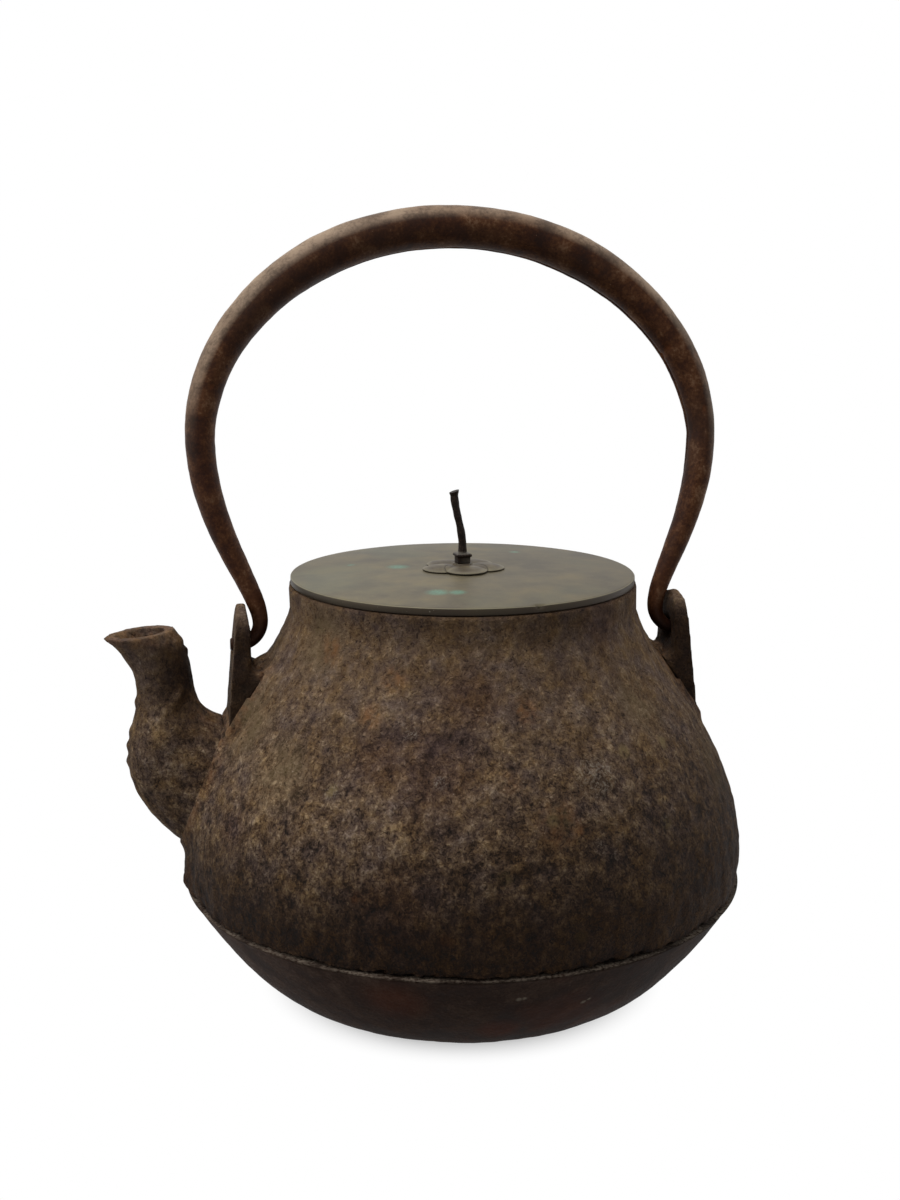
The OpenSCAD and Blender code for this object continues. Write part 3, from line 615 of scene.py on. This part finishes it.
def body_shell():
    """Upper casting: rough skin outside, plain wall inside, bored for the spout, flared at each root."""
    outside = [p for p in turned_outline("body_shell", 0.0005, 1.0, 128) if p.z < MOUTH_H - 1.2 * MM]
    rim_r = outside[-1].x
    rim = [
        Vector((rim_r, 0, MOUTH_H - 0.8 * MM)), Vector((rim_r - 0.8 * MM, 0, MOUTH_H)),
        Vector((RING_R + 1.1 * MM, 0, MOUTH_H)), Vector((RING_R + 0.6 * MM, 0, MOUTH_H - 0.5 * MM)),
    ]
    inside = [Vector((outside[0].x - WALL, 0, SEAM_H)), *evenly(inner_line(outside)[3:], 26)]
    shell = turned("body_shell_cast", outside + rim + inside[::-1], 512, True)

    bm = bmesh.new()
    bmesh.ops.create_cone(
        bm, cap_ends=True, segments=48, radius1=POUR_R, radius2=POUR_R, depth=30 * MM,
        matrix=Matrix.Translation(POUR_HOLE) @ Matrix.Rotation(math.pi / 2, 4, "Y"),
    )
    drill = mesh_object("drill", bm)
    bore = shell.modifiers.new("pour hole", "BOOLEAN")
    bore.operation = "DIFFERENCE"
    bore.solver = "MANIFOLD"
    bore.object = drill
    applied(shell)
    bpy.data.objects.remove(drill)

    def surface(p, n):
        if n.x * p.x + n.y * p.y < 0 or p.z > MOUTH_H - 0.3 * MM:
            return 0.0, 0.4, 0.2, 0.5
        depth = cast_depth(p)
        gap = root_gap(p)
        near = fade(gap, FILLET)
        # the flare stays low beside the lugs, where the hooks swing
        by_lug = 40 * MM < p.xy.length < 61 * MM
        spread = 0.1 + 0.5 * fade(abs(p.y), 6 * MM) if by_lug else 0.3
        flare = (1 - gap / FILLET) ** 2 * FILLET * spread
        edge = fade(p.z - SEAM_H, 2 * MM)
        wide = 1.6 * max(0.0, grain(p, 3.6 * MM, 12.0))
        small = 1.2 * max(0.0, grain(p, 1.6 * MM, 18.0))
        notch = (wide + small) * edge
        shift = flare + lumps_at(p, SHELL_LUMPS) - (depth * (1 - 0.5 * near) + notch + 0.1) * MM
        # soot and painted shade climb from the hearth, higher on the far side, and painted shade lies under the
        # lid's edge
        hearth = 1.15 * fade(p.z - SEAM_H, 52 * MM + 0.26 * p.x) + 0.12 * grain(p, 20 * MM, 16.0)
        shaded = 0.45 * fade(MOUTH_H - p.z, 12 * MM)
        soot_and_shade = min(1, max(0, hearth, shaded))
        return shift, 1 - depth / SKIN - 0.5 * notch, 0.7 * near, soot_and_shade

    weathered(shell, surface)
    dress(shell, "kettle", "rough_cast_iron", CAST, "body_shell")


def body_bottom():
    """Lower bowl: smoother, with a thin ledge past the shell at the seam."""
    outside = turned_outline("body_bottom", -0.002, 0.02 - math.pi / 2, 64)
    inside = [Vector((outside[0].x - WALL, 0, SEAM_H)), *evenly(inner_line(outside)[2:-2], 24)]
    outline = [Vector((0, 0, 0)), *outside[::-1], *inside, Vector((0, 0, WALL))]
    bowl = turned("body_bottom_bowl", outline, 384, False)

    def surface(p, n):
        if n.x * p.x + n.y * p.y < 0 or n.z > 0.2 or p.z < 0.05 * MM:
            return 0.0, 0.5, 0.0, 0.0
        edge = fade(SEAM_H - p.z, 2.5 * MM)
        chipped = 0.5 * edge * max(0.0, grain(p, 2.6 * MM, 17.0))
        wave = 0.22 * grain(p, 14 * MM, 5.0) + 0.09 * grain(p, 3 * MM, 6.0)
        return -(chipped + max(0.0, 0.16 - wave)) * MM, 0.5, 0.0, 0.0

    weathered(bowl, surface)
    dress(bowl, "kettle", "bowl_iron", BOWL, "body_bottom")


def spout():
    """Spout casting, with knobbly scale at the lip's back and down its front, and a scar on its flank."""
    piece = even_mesh(copy_of("spout_cast", "spout"), 0.45 * MM, 3)
    along = SCAR[1] - SCAR[0]

    def surface(p, n):
        depth = cast_depth(p)
        inward = Vector((p.x - LIP.x, p.y, 0)).dot(Vector((n.x, n.y, 0))) < 0
        if inward and p.z > 97 * MM and (p - LIP).length < 12 * MM:
            scale = fade(abs(p.z - 102.5 * MM), 2.6 * MM) * (0.3 + 0.9 * grain(p, 4 * MM, 13.0))
            return max(0, scale) * MM, 0.75, 0.6, 0.0
        t = min(1, max(0, (p - SCAR[0]).dot(along) / along.length_squared))
        ridge = 0.9 * MM * fade((p - SCAR[0] - along * t).length, 2.2 * MM)
        rim = min(1, 1.6 * fade(max(0, 105 * MM - p.z), 5 * MM))
        shift = lumps_at(p, SPOUT_LUMPS) + ridge - 0.7 * depth * MM * (1 - rim)
        low = fade(abs(p.x + 72 * MM), 8 * MM) * fade(abs(p.z - 84 * MM), 9 * MM)
        # painted shade behind the neck, on the body's side, above 76 to 88 mm; a base of 0.2 darkens all of the
        # spout
        behind = fade(max(0, -p.x - 78 * MM), 12 * MM)
        above = fade(max(0, 88 * MM - p.z), 12 * MM)
        soot_and_shade = 0.2 + 0.8 * behind * above * (1 - low) * (1 - rim)
        relief = min(1, 1 - depth / SKIN + ridge / MM)
        return shift, relief, max(0.8 * low, 0.5 * rim), soot_and_shade

    weathered(piece, surface)
    dress(piece, "kettle", "rough_cast_iron", CAST, "spout")


def lug(node_name):
    """Cast lug, worn smooth round its hole and uneven on top, with rust in the saddle by the neck. Painted
    shade darkens its faces, less its outer face, and painted light makes its top lighter.
    """
    piece = even_mesh(copy_of(node_name + "_cast", node_name), 0.5 * MM, 4)
    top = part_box(node_name)[1].z

    def surface(p, n):
        depth = cast_depth(p)
        ridge = fade(top - p.z, 7 * MM) * 0.5 * grain(p, 2.6 * MM, 14.0)
        saddle = fade(abs(abs(p.x) - 55 * MM), 6 * MM) * fade(abs(p.z - 94 * MM), 6 * MM)
        worn = fade((Vector((abs(p.x), p.y, p.z)) - Vector((60 * MM, 0, HINGE_H))).length, 5 * MM)
        shift = (min(0, ridge) - 0.4 * depth * (1 - worn)) * MM
        # painted light: the top 7 mm are drawn lighter and free of the painted shade
        painted_lit_top = fade(top - p.z, 7 * MM)
        relief = 0.6 * (1 - depth / SKIN) + 0.4 * painted_lit_top
        # painted shade on the lug's faces, less on its outer face
        soot_and_shade = 0.45 if p.x * n.x > 0 and abs(n.x) > 0.7 else 0.97
        return shift, relief, max(saddle, 0.4 * worn), soot_and_shade * (1 - painted_lit_top) * (1 - saddle)

    weathered(piece, surface)
    dress(piece, "kettle", "rough_cast_iron", CAST, node_name)


# ---------- bail ----------

GRIP_H = 114.5 * MM         # grip's centre line over the hinge
HALF = 71.3 * MM            # middle to the centre line at the widest point
WAIST_H = 56.2 * MM         # that point's height over the hinge
LEG_X = 56.6 * MM           # centre line of a leg's foot
BEND = 6 * MM               # radius of the hook's bend
JOINT_H = 26 * MM           # where a hook joins the arch
GRIP_PART = 0.33            # share of the arch's curve over which the grip keeps its full size
GRIP_SIZE = Vector((12, 15)) * MM / 2
WAIST_SIZE = Vector((8.4, 11)) * MM / 2
HOOK_SIZE = Vector((3.8, 3.8)) * MM / 2
BEND_SWELL = 1.18           # how much thicker a hook is where its bend begins
PIN_X = 65.1 * MM           # tip of a hook's pin, just past its lug
LOOP_H = 45 * MM            # middle of the bail's loop over the hinge
ARCH_STEPS = 84             # rings along half of the arch's curve
LEG_STEPS = 44              # rings of the arch's leg, down to the joint
HOOK_STEPS = 36             # rings of a hook above its bend
BEND_STEPS = 16
PIN_STEPS = 5
CORNERS = 72                # points of each ring

ARCH = [Vector((0, GRIP_H)), Vector((41.7 * MM, GRIP_H)), Vector((HALF, WAIST_H + 28.9 * MM)),
        Vector((HALF, WAIST_H))]
LEG = [Vector((HALF, WAIST_H)), Vector((HALF, WAIST_H - 24 * MM)), Vector((LEG_X, BEND + 9 * MM)),
       Vector((LEG_X, BEND))]
ON_HINGE = Matrix.Translation((0, 0, HINGE_H)) @ Matrix.Rotation(-LEAN, 4, "X")
OFF_HINGE = ON_HINGE.inverted()


def station(at, ahead, size, side):
    """Matrix that puts a unit circle across the bail's path. side is 1 for the far leg, -1 for the near."""
    flat = Vector((ahead.x, 0, ahead.y)).normalized()
    across = Vector((flat.z, 0, -flat.x))
    place = Matrix((
        (across.x * size.x, 0, flat.x, at.x),
        (0, size.y, 0, 0),
        (across.z * size.x, 0, flat.z, at.y),
        (0, 0, 0, 1),
    ))
    return ON_HINGE @ Matrix.Diagonal((side, 1, 1, 1)) @ place


def arch_station(t, side):
    """Ring of the arch from the grip's middle at t = 0 to the widest point at 1."""
    ahead = cubic(ARCH, min(1, t + 0.001)) - cubic(ARCH, max(0, t - 0.001))
    share = max(0, (t - GRIP_PART) / (1 - GRIP_PART))
    return station(cubic(ARCH, t), ahead, GRIP_SIZE.lerp(WAIST_SIZE, share), side)


def leg_station(t, side):
    """Ring of a leg from the widest point at t = 0 to the hook's bend at 1."""
    at = cubic(LEG, t)
    ahead = cubic(LEG, min(1, t + 0.001)) - cubic(LEG, max(0, t - 0.001))
    share = max(0, (WAIST_H - at.y) / (WAIST_H - BEND)) ** 1.5
    return station(at, ahead, WAIST_SIZE.lerp(HOOK_SIZE * BEND_SWELL, share), side)


def joint_share():
    """Share of the leg's curve at which it passes the joint."""
    low, high = 0.0, 1.0
    for _ in range(24):
        middle = (low + high) / 2
        if cubic(LEG, middle).y > JOINT_H:
            low = middle
        else:
            high = middle
    return low


JOINT_T = joint_share()

# Pits in the bail, on its hinge's own axes: x, z and radius, in millimetres
BAIL_PITS = [(61, 79.5, 1.3), (60, 78, 0.9), (69, 78, 1.2), (71, 62, 1.1), (-68, 70, 1.0), (40, 101, 0.9)]
KINK_H = 55.8 * MM          # where the far leg's inner edge steps in, over the hinge


def bail_surface(p, n):
    """Forged unevenness, the rolled seam on the underside, a kink inside the far leg and small pits.
    The arch is worn pale along its outer side, which is also a painted highlight from above, and the
    hooks darken towards the hinge."""
    q = OFF_HINGE @ p
    depth = max(0.0, 0.12 + 0.14 * grain(p, 9 * MM, 7.0) + 0.07 * grain(p, 2.2 * MM, 8.0)) * MM
    inner = q.x * n.x + (q.z - LOOP_H) * n.z < 0
    seam = 0.0
    if inner and q.z > 40 * MM:
        seam = 0.9 * MM * fade(abs(q.y), 0.75 * MM) * fade(max(0, 60 * MM - q.z), 20 * MM)
    kink = 0.0
    if q.x > 55 * MM and inner:
        kink = 0.45 * MM * max(0, 1 - abs(q.z - KINK_H) / (9 * MM))
    pits = 0.0
    for x, z, r in BAIL_PITS:
        gap = Vector((q.x - x * MM, q.z - z * MM)).length
        if gap < r * MM and n.y < 0:
            pits += 0.5 * MM * fade(gap, r * MM)
    low = fade(max(0, q.z - 4 * MM), 26 * MM)
    # the arch's outer side is marked pale: wear, and a painted highlight from above
    across = Vector((q.x, q.z - LOOP_H)).normalized()
    outward = across.x * n.x + across.y * (OFF_HINGE.to_3x3() @ n).z
    worn = min(1, max(0, 2.2 * outward - 0.5)) * fade(max(0, 94 * MM - q.z), 50 * MM)
    worn *= min(1, max(0, 0.85 + 0.7 * grain(p, 13 * MM, 19.0)))
    shift = -(depth + pits) * (0.5 + 0.5 * min(1, q.z / JOINT_H)) - seam - kink
    # darker towards the hooks' bends, within 12 mm of the hinge
    soot_and_shade = 0.9 * fade(max(0, q.z), 12 * MM)
    return shift, 0.92 * worn, 0.14 * low + min(0.5, pits / MM), soot_and_shade


def bail_arch():
    """Rolled arch with the upper part of both legs."""
    half = [(arch_station, i / ARCH_STEPS) for i in range(1, ARCH_STEPS)]
    half += [(leg_station, JOINT_T * i / LEG_STEPS) for i in range(LEG_STEPS + 1)]
    places = [make(t, -1) for make, t in reversed(half)] + [arch_station(0, 1)]
    places += [make(t, 1) for make, t in half]
    piece = swept("bail_arch_rolled", places, CORNERS)
    weathered(piece, bail_surface)
    with_ends(piece)
    dress(piece, "bail", "forged_iron", FORGED, "bail_arch")


def bail_hook(node_name, side):
    """Forged leg end, bent outwards into its lug."""
    places = [leg_station(mix(JOINT_T, 1, i / HOOK_STEPS), side) for i in range(HOOK_STEPS + 1)]
    for i in range(1, BEND_STEPS + 1):
        a = math.pi / 2 * i / BEND_STEPS
        at = Vector((LEG_X + BEND - BEND * math.cos(a), BEND - BEND * math.sin(a)))
        thick = 1 + (BEND_SWELL - 1) * (1 - i / BEND_STEPS) ** 2
        places.append(station(at, Vector((math.sin(a), -math.cos(a))), HOOK_SIZE * thick, side))
    for i in range(1, PIN_STEPS + 1):
        at = Vector((mix(LEG_X + BEND, PIN_X, i / PIN_STEPS), 0))
        tip = 0.8 if i == PIN_STEPS else 1
        places.append(station(at, Vector((1, 0)), HOOK_SIZE * tip, side))
    piece = swept(node_name + "_forged", places, CORNERS)
    weathered(piece, bail_surface)
    with_ends(piece)
    dress(piece, "bail", "forged_iron", FORGED, node_name)


# ---------- lid ----------

def lid_plate():
    """Flat bronze disc, slightly crowned, with a thin worn rim and a nick in its front. The rim is marked
    for painted shade on its side and a painted highlight with rubbing on its upper corner.
    """
    plate = 2 * MM
    crown = LID_TOP - LID_LOW - plate
    flat_r = 13 * MM
    hole_r = 1.15 * MM
    edge = 0.3 * MM
    under_r = RING_R - 1.5 * MM

    def crown_at(r, reach):
        return crown * (1 - ((max(r, flat_r) - flat_r) / (reach - flat_r)) ** 2)

    top = [Vector((mix(hole_r, LID_R - edge, i / 70), 0, 0)) for i in range(71)]
    for p in top:
        p.z = LID_LOW + plate + crown_at(p.x, LID_R - edge)
    rim = [
        Vector((LID_R - 0.1 * MM, 0, LID_LOW + plate - 0.1 * MM)),
        Vector((LID_R, 0, LID_LOW + plate - edge)),
        Vector((LID_R, 0, LID_LOW + 0.15 * MM)),
        Vector((LID_R - 0.15 * MM, 0, LID_LOW)),
    ]
    under = [Vector((mix(under_r, hole_r, i / 16), 0, 0)) for i in range(17)]
    for p in under:
        p.z = LID_LOW + crown_at(p.x, under_r)
    piece = turned("lid_plate_bronze", top + rim + under, 320, True)
    nick = Vector((11.6, -46.6, 118.6)) * MM

    def surface(p, n):
        dent = 0.9 * MM * fade((p - nick).length, 1.6 * MM)
        wave = 0.05 * MM * (1 + grain(p, 16 * MM, 9.0)) if n.z > 0.5 else 0.0
        # the rim's upper corner gets a painted highlight with rubbing, its side painted shade
        out = p.xy.length > LID_R - 0.35 * MM
        corner = 0.7 if out and 0.3 < n.z < 0.95 else 0.0
        side = 0.85 if out and n.z <= 0.3 else 0.0
        return -dent - wave, corner, 0.0, side

    weathered(piece, surface)
    dress(piece, "lid", "bronze_lid", BRONZE, "lid_plate")


def knob_seat():
    """Five domed petals with thin edges, round the foot of the collar. The front one lies on top."""
    petal_r = 5.8 * MM
    centre_r = -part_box("knob_seat")[0].y - petal_r
    edge = 0.42 * MM
    rise = 0.96 * MM
    ball = (petal_r ** 2 + rise ** 2) / (2 * rise)
    bm = bmesh.new()
    made = bmesh.ops.create_circle(
        bm, cap_ends=True, radius=petal_r, segments=64,
        matrix=Matrix.Translation((0, -centre_r, SEAT_LOW)),
    )
    wall = bmesh.ops.extrude_face_region(bm, geom=made["verts"][0].link_faces[:])
    dome = [part for part in wall["geom"] if isinstance(part, bmesh.types.BMFace)]
    bmesh.ops.translate(bm, vec=(0, 0, edge), verts=dome[0].verts[:])
    for _ in range(9):
        bmesh.ops.inset_region(bm, faces=dome, thickness=0.6 * MM, use_even_offset=True)
        top = dome[0].verts[:]
        r = (top[0].co - Vector((0, -centre_r, top[0].co.z))).length
        lift = SEAT_LOW + edge + math.sqrt(ball * ball - r * r) - (ball - rise) - top[0].co.z
        bmesh.ops.translate(bm, vec=(0, 0, lift), verts=top)
    front = bm.verts[:]
    bmesh.ops.spin(
        bm, geom=[*bm.verts, *bm.edges, *bm.faces], cent=(0, 0, 0), axis=UP, dvec=(0, 0, 0),
        angle=2 * math.pi * 4 / 5, steps=4, use_duplicate=True,
    )
    bmesh.ops.translate(bm, vec=(0, 0, 0.16 * MM), verts=front)
    bmesh.ops.create_cone(
        bm, cap_ends=True, segments=48, radius1=2.9 * MM, radius2=2.7 * MM, depth=SEAT_TOP - SEAT_LOW,
        matrix=Matrix.Translation((0, 0, (SEAT_TOP + SEAT_LOW) / 2)),
    )
    bmesh.ops.recalc_face_normals(bm, faces=bm.faces)
    piece = even_mesh(mesh_object("knob_petals", bm), 0.14 * MM, 1)
    turns = [Matrix.Rotation(2 * math.pi * i / 5, 3, "Z") for i in range(5)]
    middles = [turn @ Vector((0, -centre_r, 0)) for turn in turns]

    def surface(p, n):
        gaps = [(p.xy - middle.xy).length for middle in middles]
        lip = max(0, min(gaps) / petal_r - 0.72) / 0.28
        groove = 0.0
        if gaps[0] > petal_r:
            groove = fade(gaps[0] - petal_r, 0.5 * MM) * (1 if p.xy.length < 11 * MM else 0)
        # painted shadow on the side walls and in the groove round the front petal
        under = 0.9 if n.z < 0.4 else 0.7 * groove
        return -0.14 * groove * MM, min(1, 0.5 * lip) * (1 - groove), 0.0, under

    weathered(piece, surface)
    dress(piece, "lid", "bronze_lid", PETAL, "knob_seat")


def knob_collar():
    """Folded square collar: narrow foot, wider head with pointed corners, a rubbed grey face."""
    low_w = 3.9 * MM
    high_w = 4.4 * MM
    tall = COLLAR_TOP - COLLAR_LOW
    bm = bmesh.new()
    bmesh.ops.create_cube(bm, size=1, matrix=Matrix.Diagonal((low_w, low_w, tall, 1)))
    for cut in (-0.28, 0.12, 0.2, 0.38):        # shares of the height from the middle
        bmesh.ops.bisect_plane(
            bm, geom=[*bm.verts, *bm.edges, *bm.faces], plane_co=(0, 0, cut * tall), plane_no=UP,
        )
    for vert in bm.verts:
        head = 0.15 < vert.co.z / tall < 0.45
        wide = high_w / low_w if head else 0.93
        vert.co.x *= wide
        vert.co.y *= wide
    bmesh.ops.bevel(
        bm, geom=[*bm.edges], offset=0.12 * MM, segments=2, profile=0.5, affect="EDGES", material=-1,
    )
    place = Matrix.Translation((0, 0, COLLAR_LOW + tall / 2)) @ Matrix.Rotation(math.radians(8), 4, "Z")
    bmesh.ops.transform(bm, matrix=place, verts=bm.verts)
    bmesh.ops.recalc_face_normals(bm, faces=bm.faces)
    piece = mesh_object("knob_collar_folded", bm)

    def surface(p, n):
        rubbed = 0.4 if n.z > 0.7 and p.z > COLLAR_TOP - 0.1 * MM else 0.0
        if n.y < -0.7 and p.x > 0.9 * MM and p.z < COLLAR_TOP - 1.2 * MM:
            rubbed = 0.28
        return -0.05 * MM, rubbed, 0.0, 0.0

    weathered(piece, surface)
    dress(piece, "lid", "dark_bronze", DARK, "knob_collar")


def knob_stalk():
    """Bent twig-like stalk with a flared, slanting end, and its tang peened under the lid."""
    length = KNOB_TOP - COLLAR_TOP
    lean = 2.4 * MM
    bend = [
        Vector((0, 0, COLLAR_TOP)), Vector((0.12 * lean, 0, COLLAR_TOP + 0.4 * length)),
        Vector((-0.95 * lean, 0, COLLAR_TOP + 0.62 * length)), Vector((-lean, 0, KNOB_TOP - 0.7 * MM)),
    ]
    r = 1.05 * MM
    # the tang from its end up: the rings' height over the end, and their size in the stalk's radius
    tang = (
        (0, 1.1), (0.55 * MM, 1.6), (0.79 * MM, 1.75), (0.8 * MM, 1.0), (COLLAR_LOW - TANG_LOW, 1.0),
    )
    places = []
    for up, size in tang:
        wide = Matrix.Diagonal((size * r, size * r, 1, 1))
        places.append(Matrix.Translation((0, 0, TANG_LOW + up)) @ wide)
    for i in range(41):
        t = i / 40
        ahead = (cubic(bend, min(1, t + 0.01)) - cubic(bend, max(0, t - 0.01))).normalized()
        knot = 1 + 0.05 * math.sin(9 * t) + 0.04 * math.sin(23 * t + 1) + 0.1 * fade(t, 0.1)
        size = r * knot * (1 + 0.34 * fade(1 - t, 0.07))
        tilt = Matrix.Rotation(-0.3 * fade(1 - t, 0.06), 4, "Y")
        turn = UP.rotation_difference(ahead).to_matrix().to_4x4()
        wide = Matrix.Diagonal((size, size, 1, 1))
        places.append(Matrix.Translation(cubic(bend, t)) @ turn @ tilt @ wide)
    piece = swept("knob_stalk_twig", places, 24)

    def surface(p, n):
        end = 0.8 if n.z > 0.75 and p.z > KNOB_TOP - 1.5 * MM else 0.0
        foot = 0.7 * fade(abs(p.z - COLLAR_TOP), 0.6 * MM)
        return 0.05 * MM * grain(p, 1.4 * MM, 15.0) - 0.03 * MM, max(end, foot), 0.0, 0.0

    weathered(piece, surface)
    with_ends(piece)
    dress(piece, "lid", "dark_bronze", DARK, "knob_stalk")


def keep_nodes(material, *names):
    """CAD nodes that stay, with a better finish."""
    for name in names:
        mesh = frame["nodes"][name].data
        mesh.materials.clear()
        mesh.materials.append(material)


body_shell()
body_bottom()
spout()
lug("lug_spout_side")
lug("lug_far_side")
bail_arch()
bail_hook("bail_hook_spout_side", -1)
bail_hook("bail_hook_far_side", 1)
lid_plate()
knob_seat()
knob_collar()
knob_stalk()
keep_nodes(DARK, "lid_fit_ring", "knob_washer")


# ---------- stage, light and camera ----------

FLOOR_GAP = 0.02 * MM       # keeps the floor off the foot's own face
SHADOW_NEAR = 0.036         # from here the soft shadow fades, in metres from the middle
SHADOW_END = 0.06
MIDDLE = Vector((0, 0, 0.1))            # where the lamps aim


def seen_white(tree, plain, white):
    """White for what the camera, gloss and glass see, and the plain shader for the light itself."""
    path = node(tree, "LightPath", out="Is Camera Ray")
    seen = node(tree, "Math", {0: path, 1: path.node.outputs["Is Glossy Ray"]}, operation="MAXIMUM")
    seen = node(tree, "Math", {0: seen, 1: path.node.outputs["Is Transmission Ray"]}, operation="MAXIMUM")
    return node(tree, "MixShader", {0: seen, 1: plain, 2: white})


def stage():
    """Pale floor, a hair under the foot. It clips to white but for the kettle's own soft shadow."""
    bm = bmesh.new()
    low = Matrix.Translation((0, 0, -FLOOR_GAP))
    bmesh.ops.create_grid(bm, x_segments=1, y_segments=1, size=4, matrix=low)
    floor = mesh_object("floor", bm)
    material, tree, shader, place = finish_of("pale_floor")
    tree.nodes.remove(shader)
    plain = node(tree, "BsdfDiffuse", {"Color": "#8c8c8c"})
    lit = node(tree, "BsdfDiffuse", {"Color": "#fafafa"})
    glow = node(tree, "Emission", {"Color": "#ffffff", "Strength": 0.12})
    shaded = node(tree, "AddShader", {0: lit, 1: glow})
    pure = node(tree, "Emission", {"Color": "#ffffff", "Strength": 1.0})
    away = node(tree, "VectorMath", {0: place}, out="Value", operation="LENGTH")
    far = node(tree, "MapRange", {"Value": away, "From Min": SHADOW_NEAR, "From Max": SHADOW_END},
               interpolation_type="SMOOTHSTEP")
    white = node(tree, "MixShader", {0: far, 1: shaded, 2: pure})
    tree.links.new(seen_white(tree, plain, white), tree.nodes["Material Output"].inputs["Surface"])
    floor.data.materials.append(material)


def sky():
    """White all round to the eye, and a low even fill as light."""
    world = bpy.data.worlds.new("studio")
    bpy.context.scene.world = world
    world.use_nodes = True
    tree = world.node_tree
    tree.nodes.remove(tree.nodes["Background"])
    plain = node(tree, "Background", {"Color": "#ffffff", "Strength": 0.16})
    white = node(tree, "Background", {"Color": "#ffffff", "Strength": 1.0})
    tree.links.new(seen_white(tree, plain, white), tree.nodes["World Output"].inputs["Surface"])


def lamp(name, place, size, watts):
    """Round lamp that shines on the middle of the kettle."""
    data = bpy.data.lights.new(name, "AREA")
    data.shape = "DISK"
    data.size = size
    data.energy = watts
    light = bpy.data.objects.new(name, data)
    light.location = place
    light.rotation_mode = "QUATERNION"
    light.rotation_quaternion = (MIDDLE - Vector(place)).to_track_quat("-Z", "Y")
    bpy.context.scene.collection.objects.link(light)


def camera():
    """Eye 0.44 m before the kettle and 0.2 m over the floor, looking down by 12 degrees."""
    heading = math.radians(9.81)
    pitch = math.radians(11.97)
    data = bpy.data.cameras.new("camera")
    data.sensor_width = 36
    data.lens = 47.98
    data.clip_start = 0.01
    eye = bpy.data.objects.new("camera", data)
    eye.location = (-0.0784, -0.4330, 0.204)
    ahead = Vector((
        math.sin(heading) * math.cos(pitch), math.cos(heading) * math.cos(pitch), -math.sin(pitch),
    ))
    eye.rotation_mode = "QUATERNION"
    eye.rotation_quaternion = ahead.to_track_quat("-Z", "Y")
    bpy.context.scene.collection.objects.link(eye)
    bpy.context.scene.camera = eye


stage()
sky()
lamp("top", (-0.25, -0.15, 1.1), 0.8, 6.6)
lamp("left", (-0.9, -0.15, 0.55), 0.5, 2.2)
lamp("right", (0.9, 0.1, 0.5), 0.5, 1.1)
camera()
bpy.context.scene.view_settings.view_transform = "Standard"
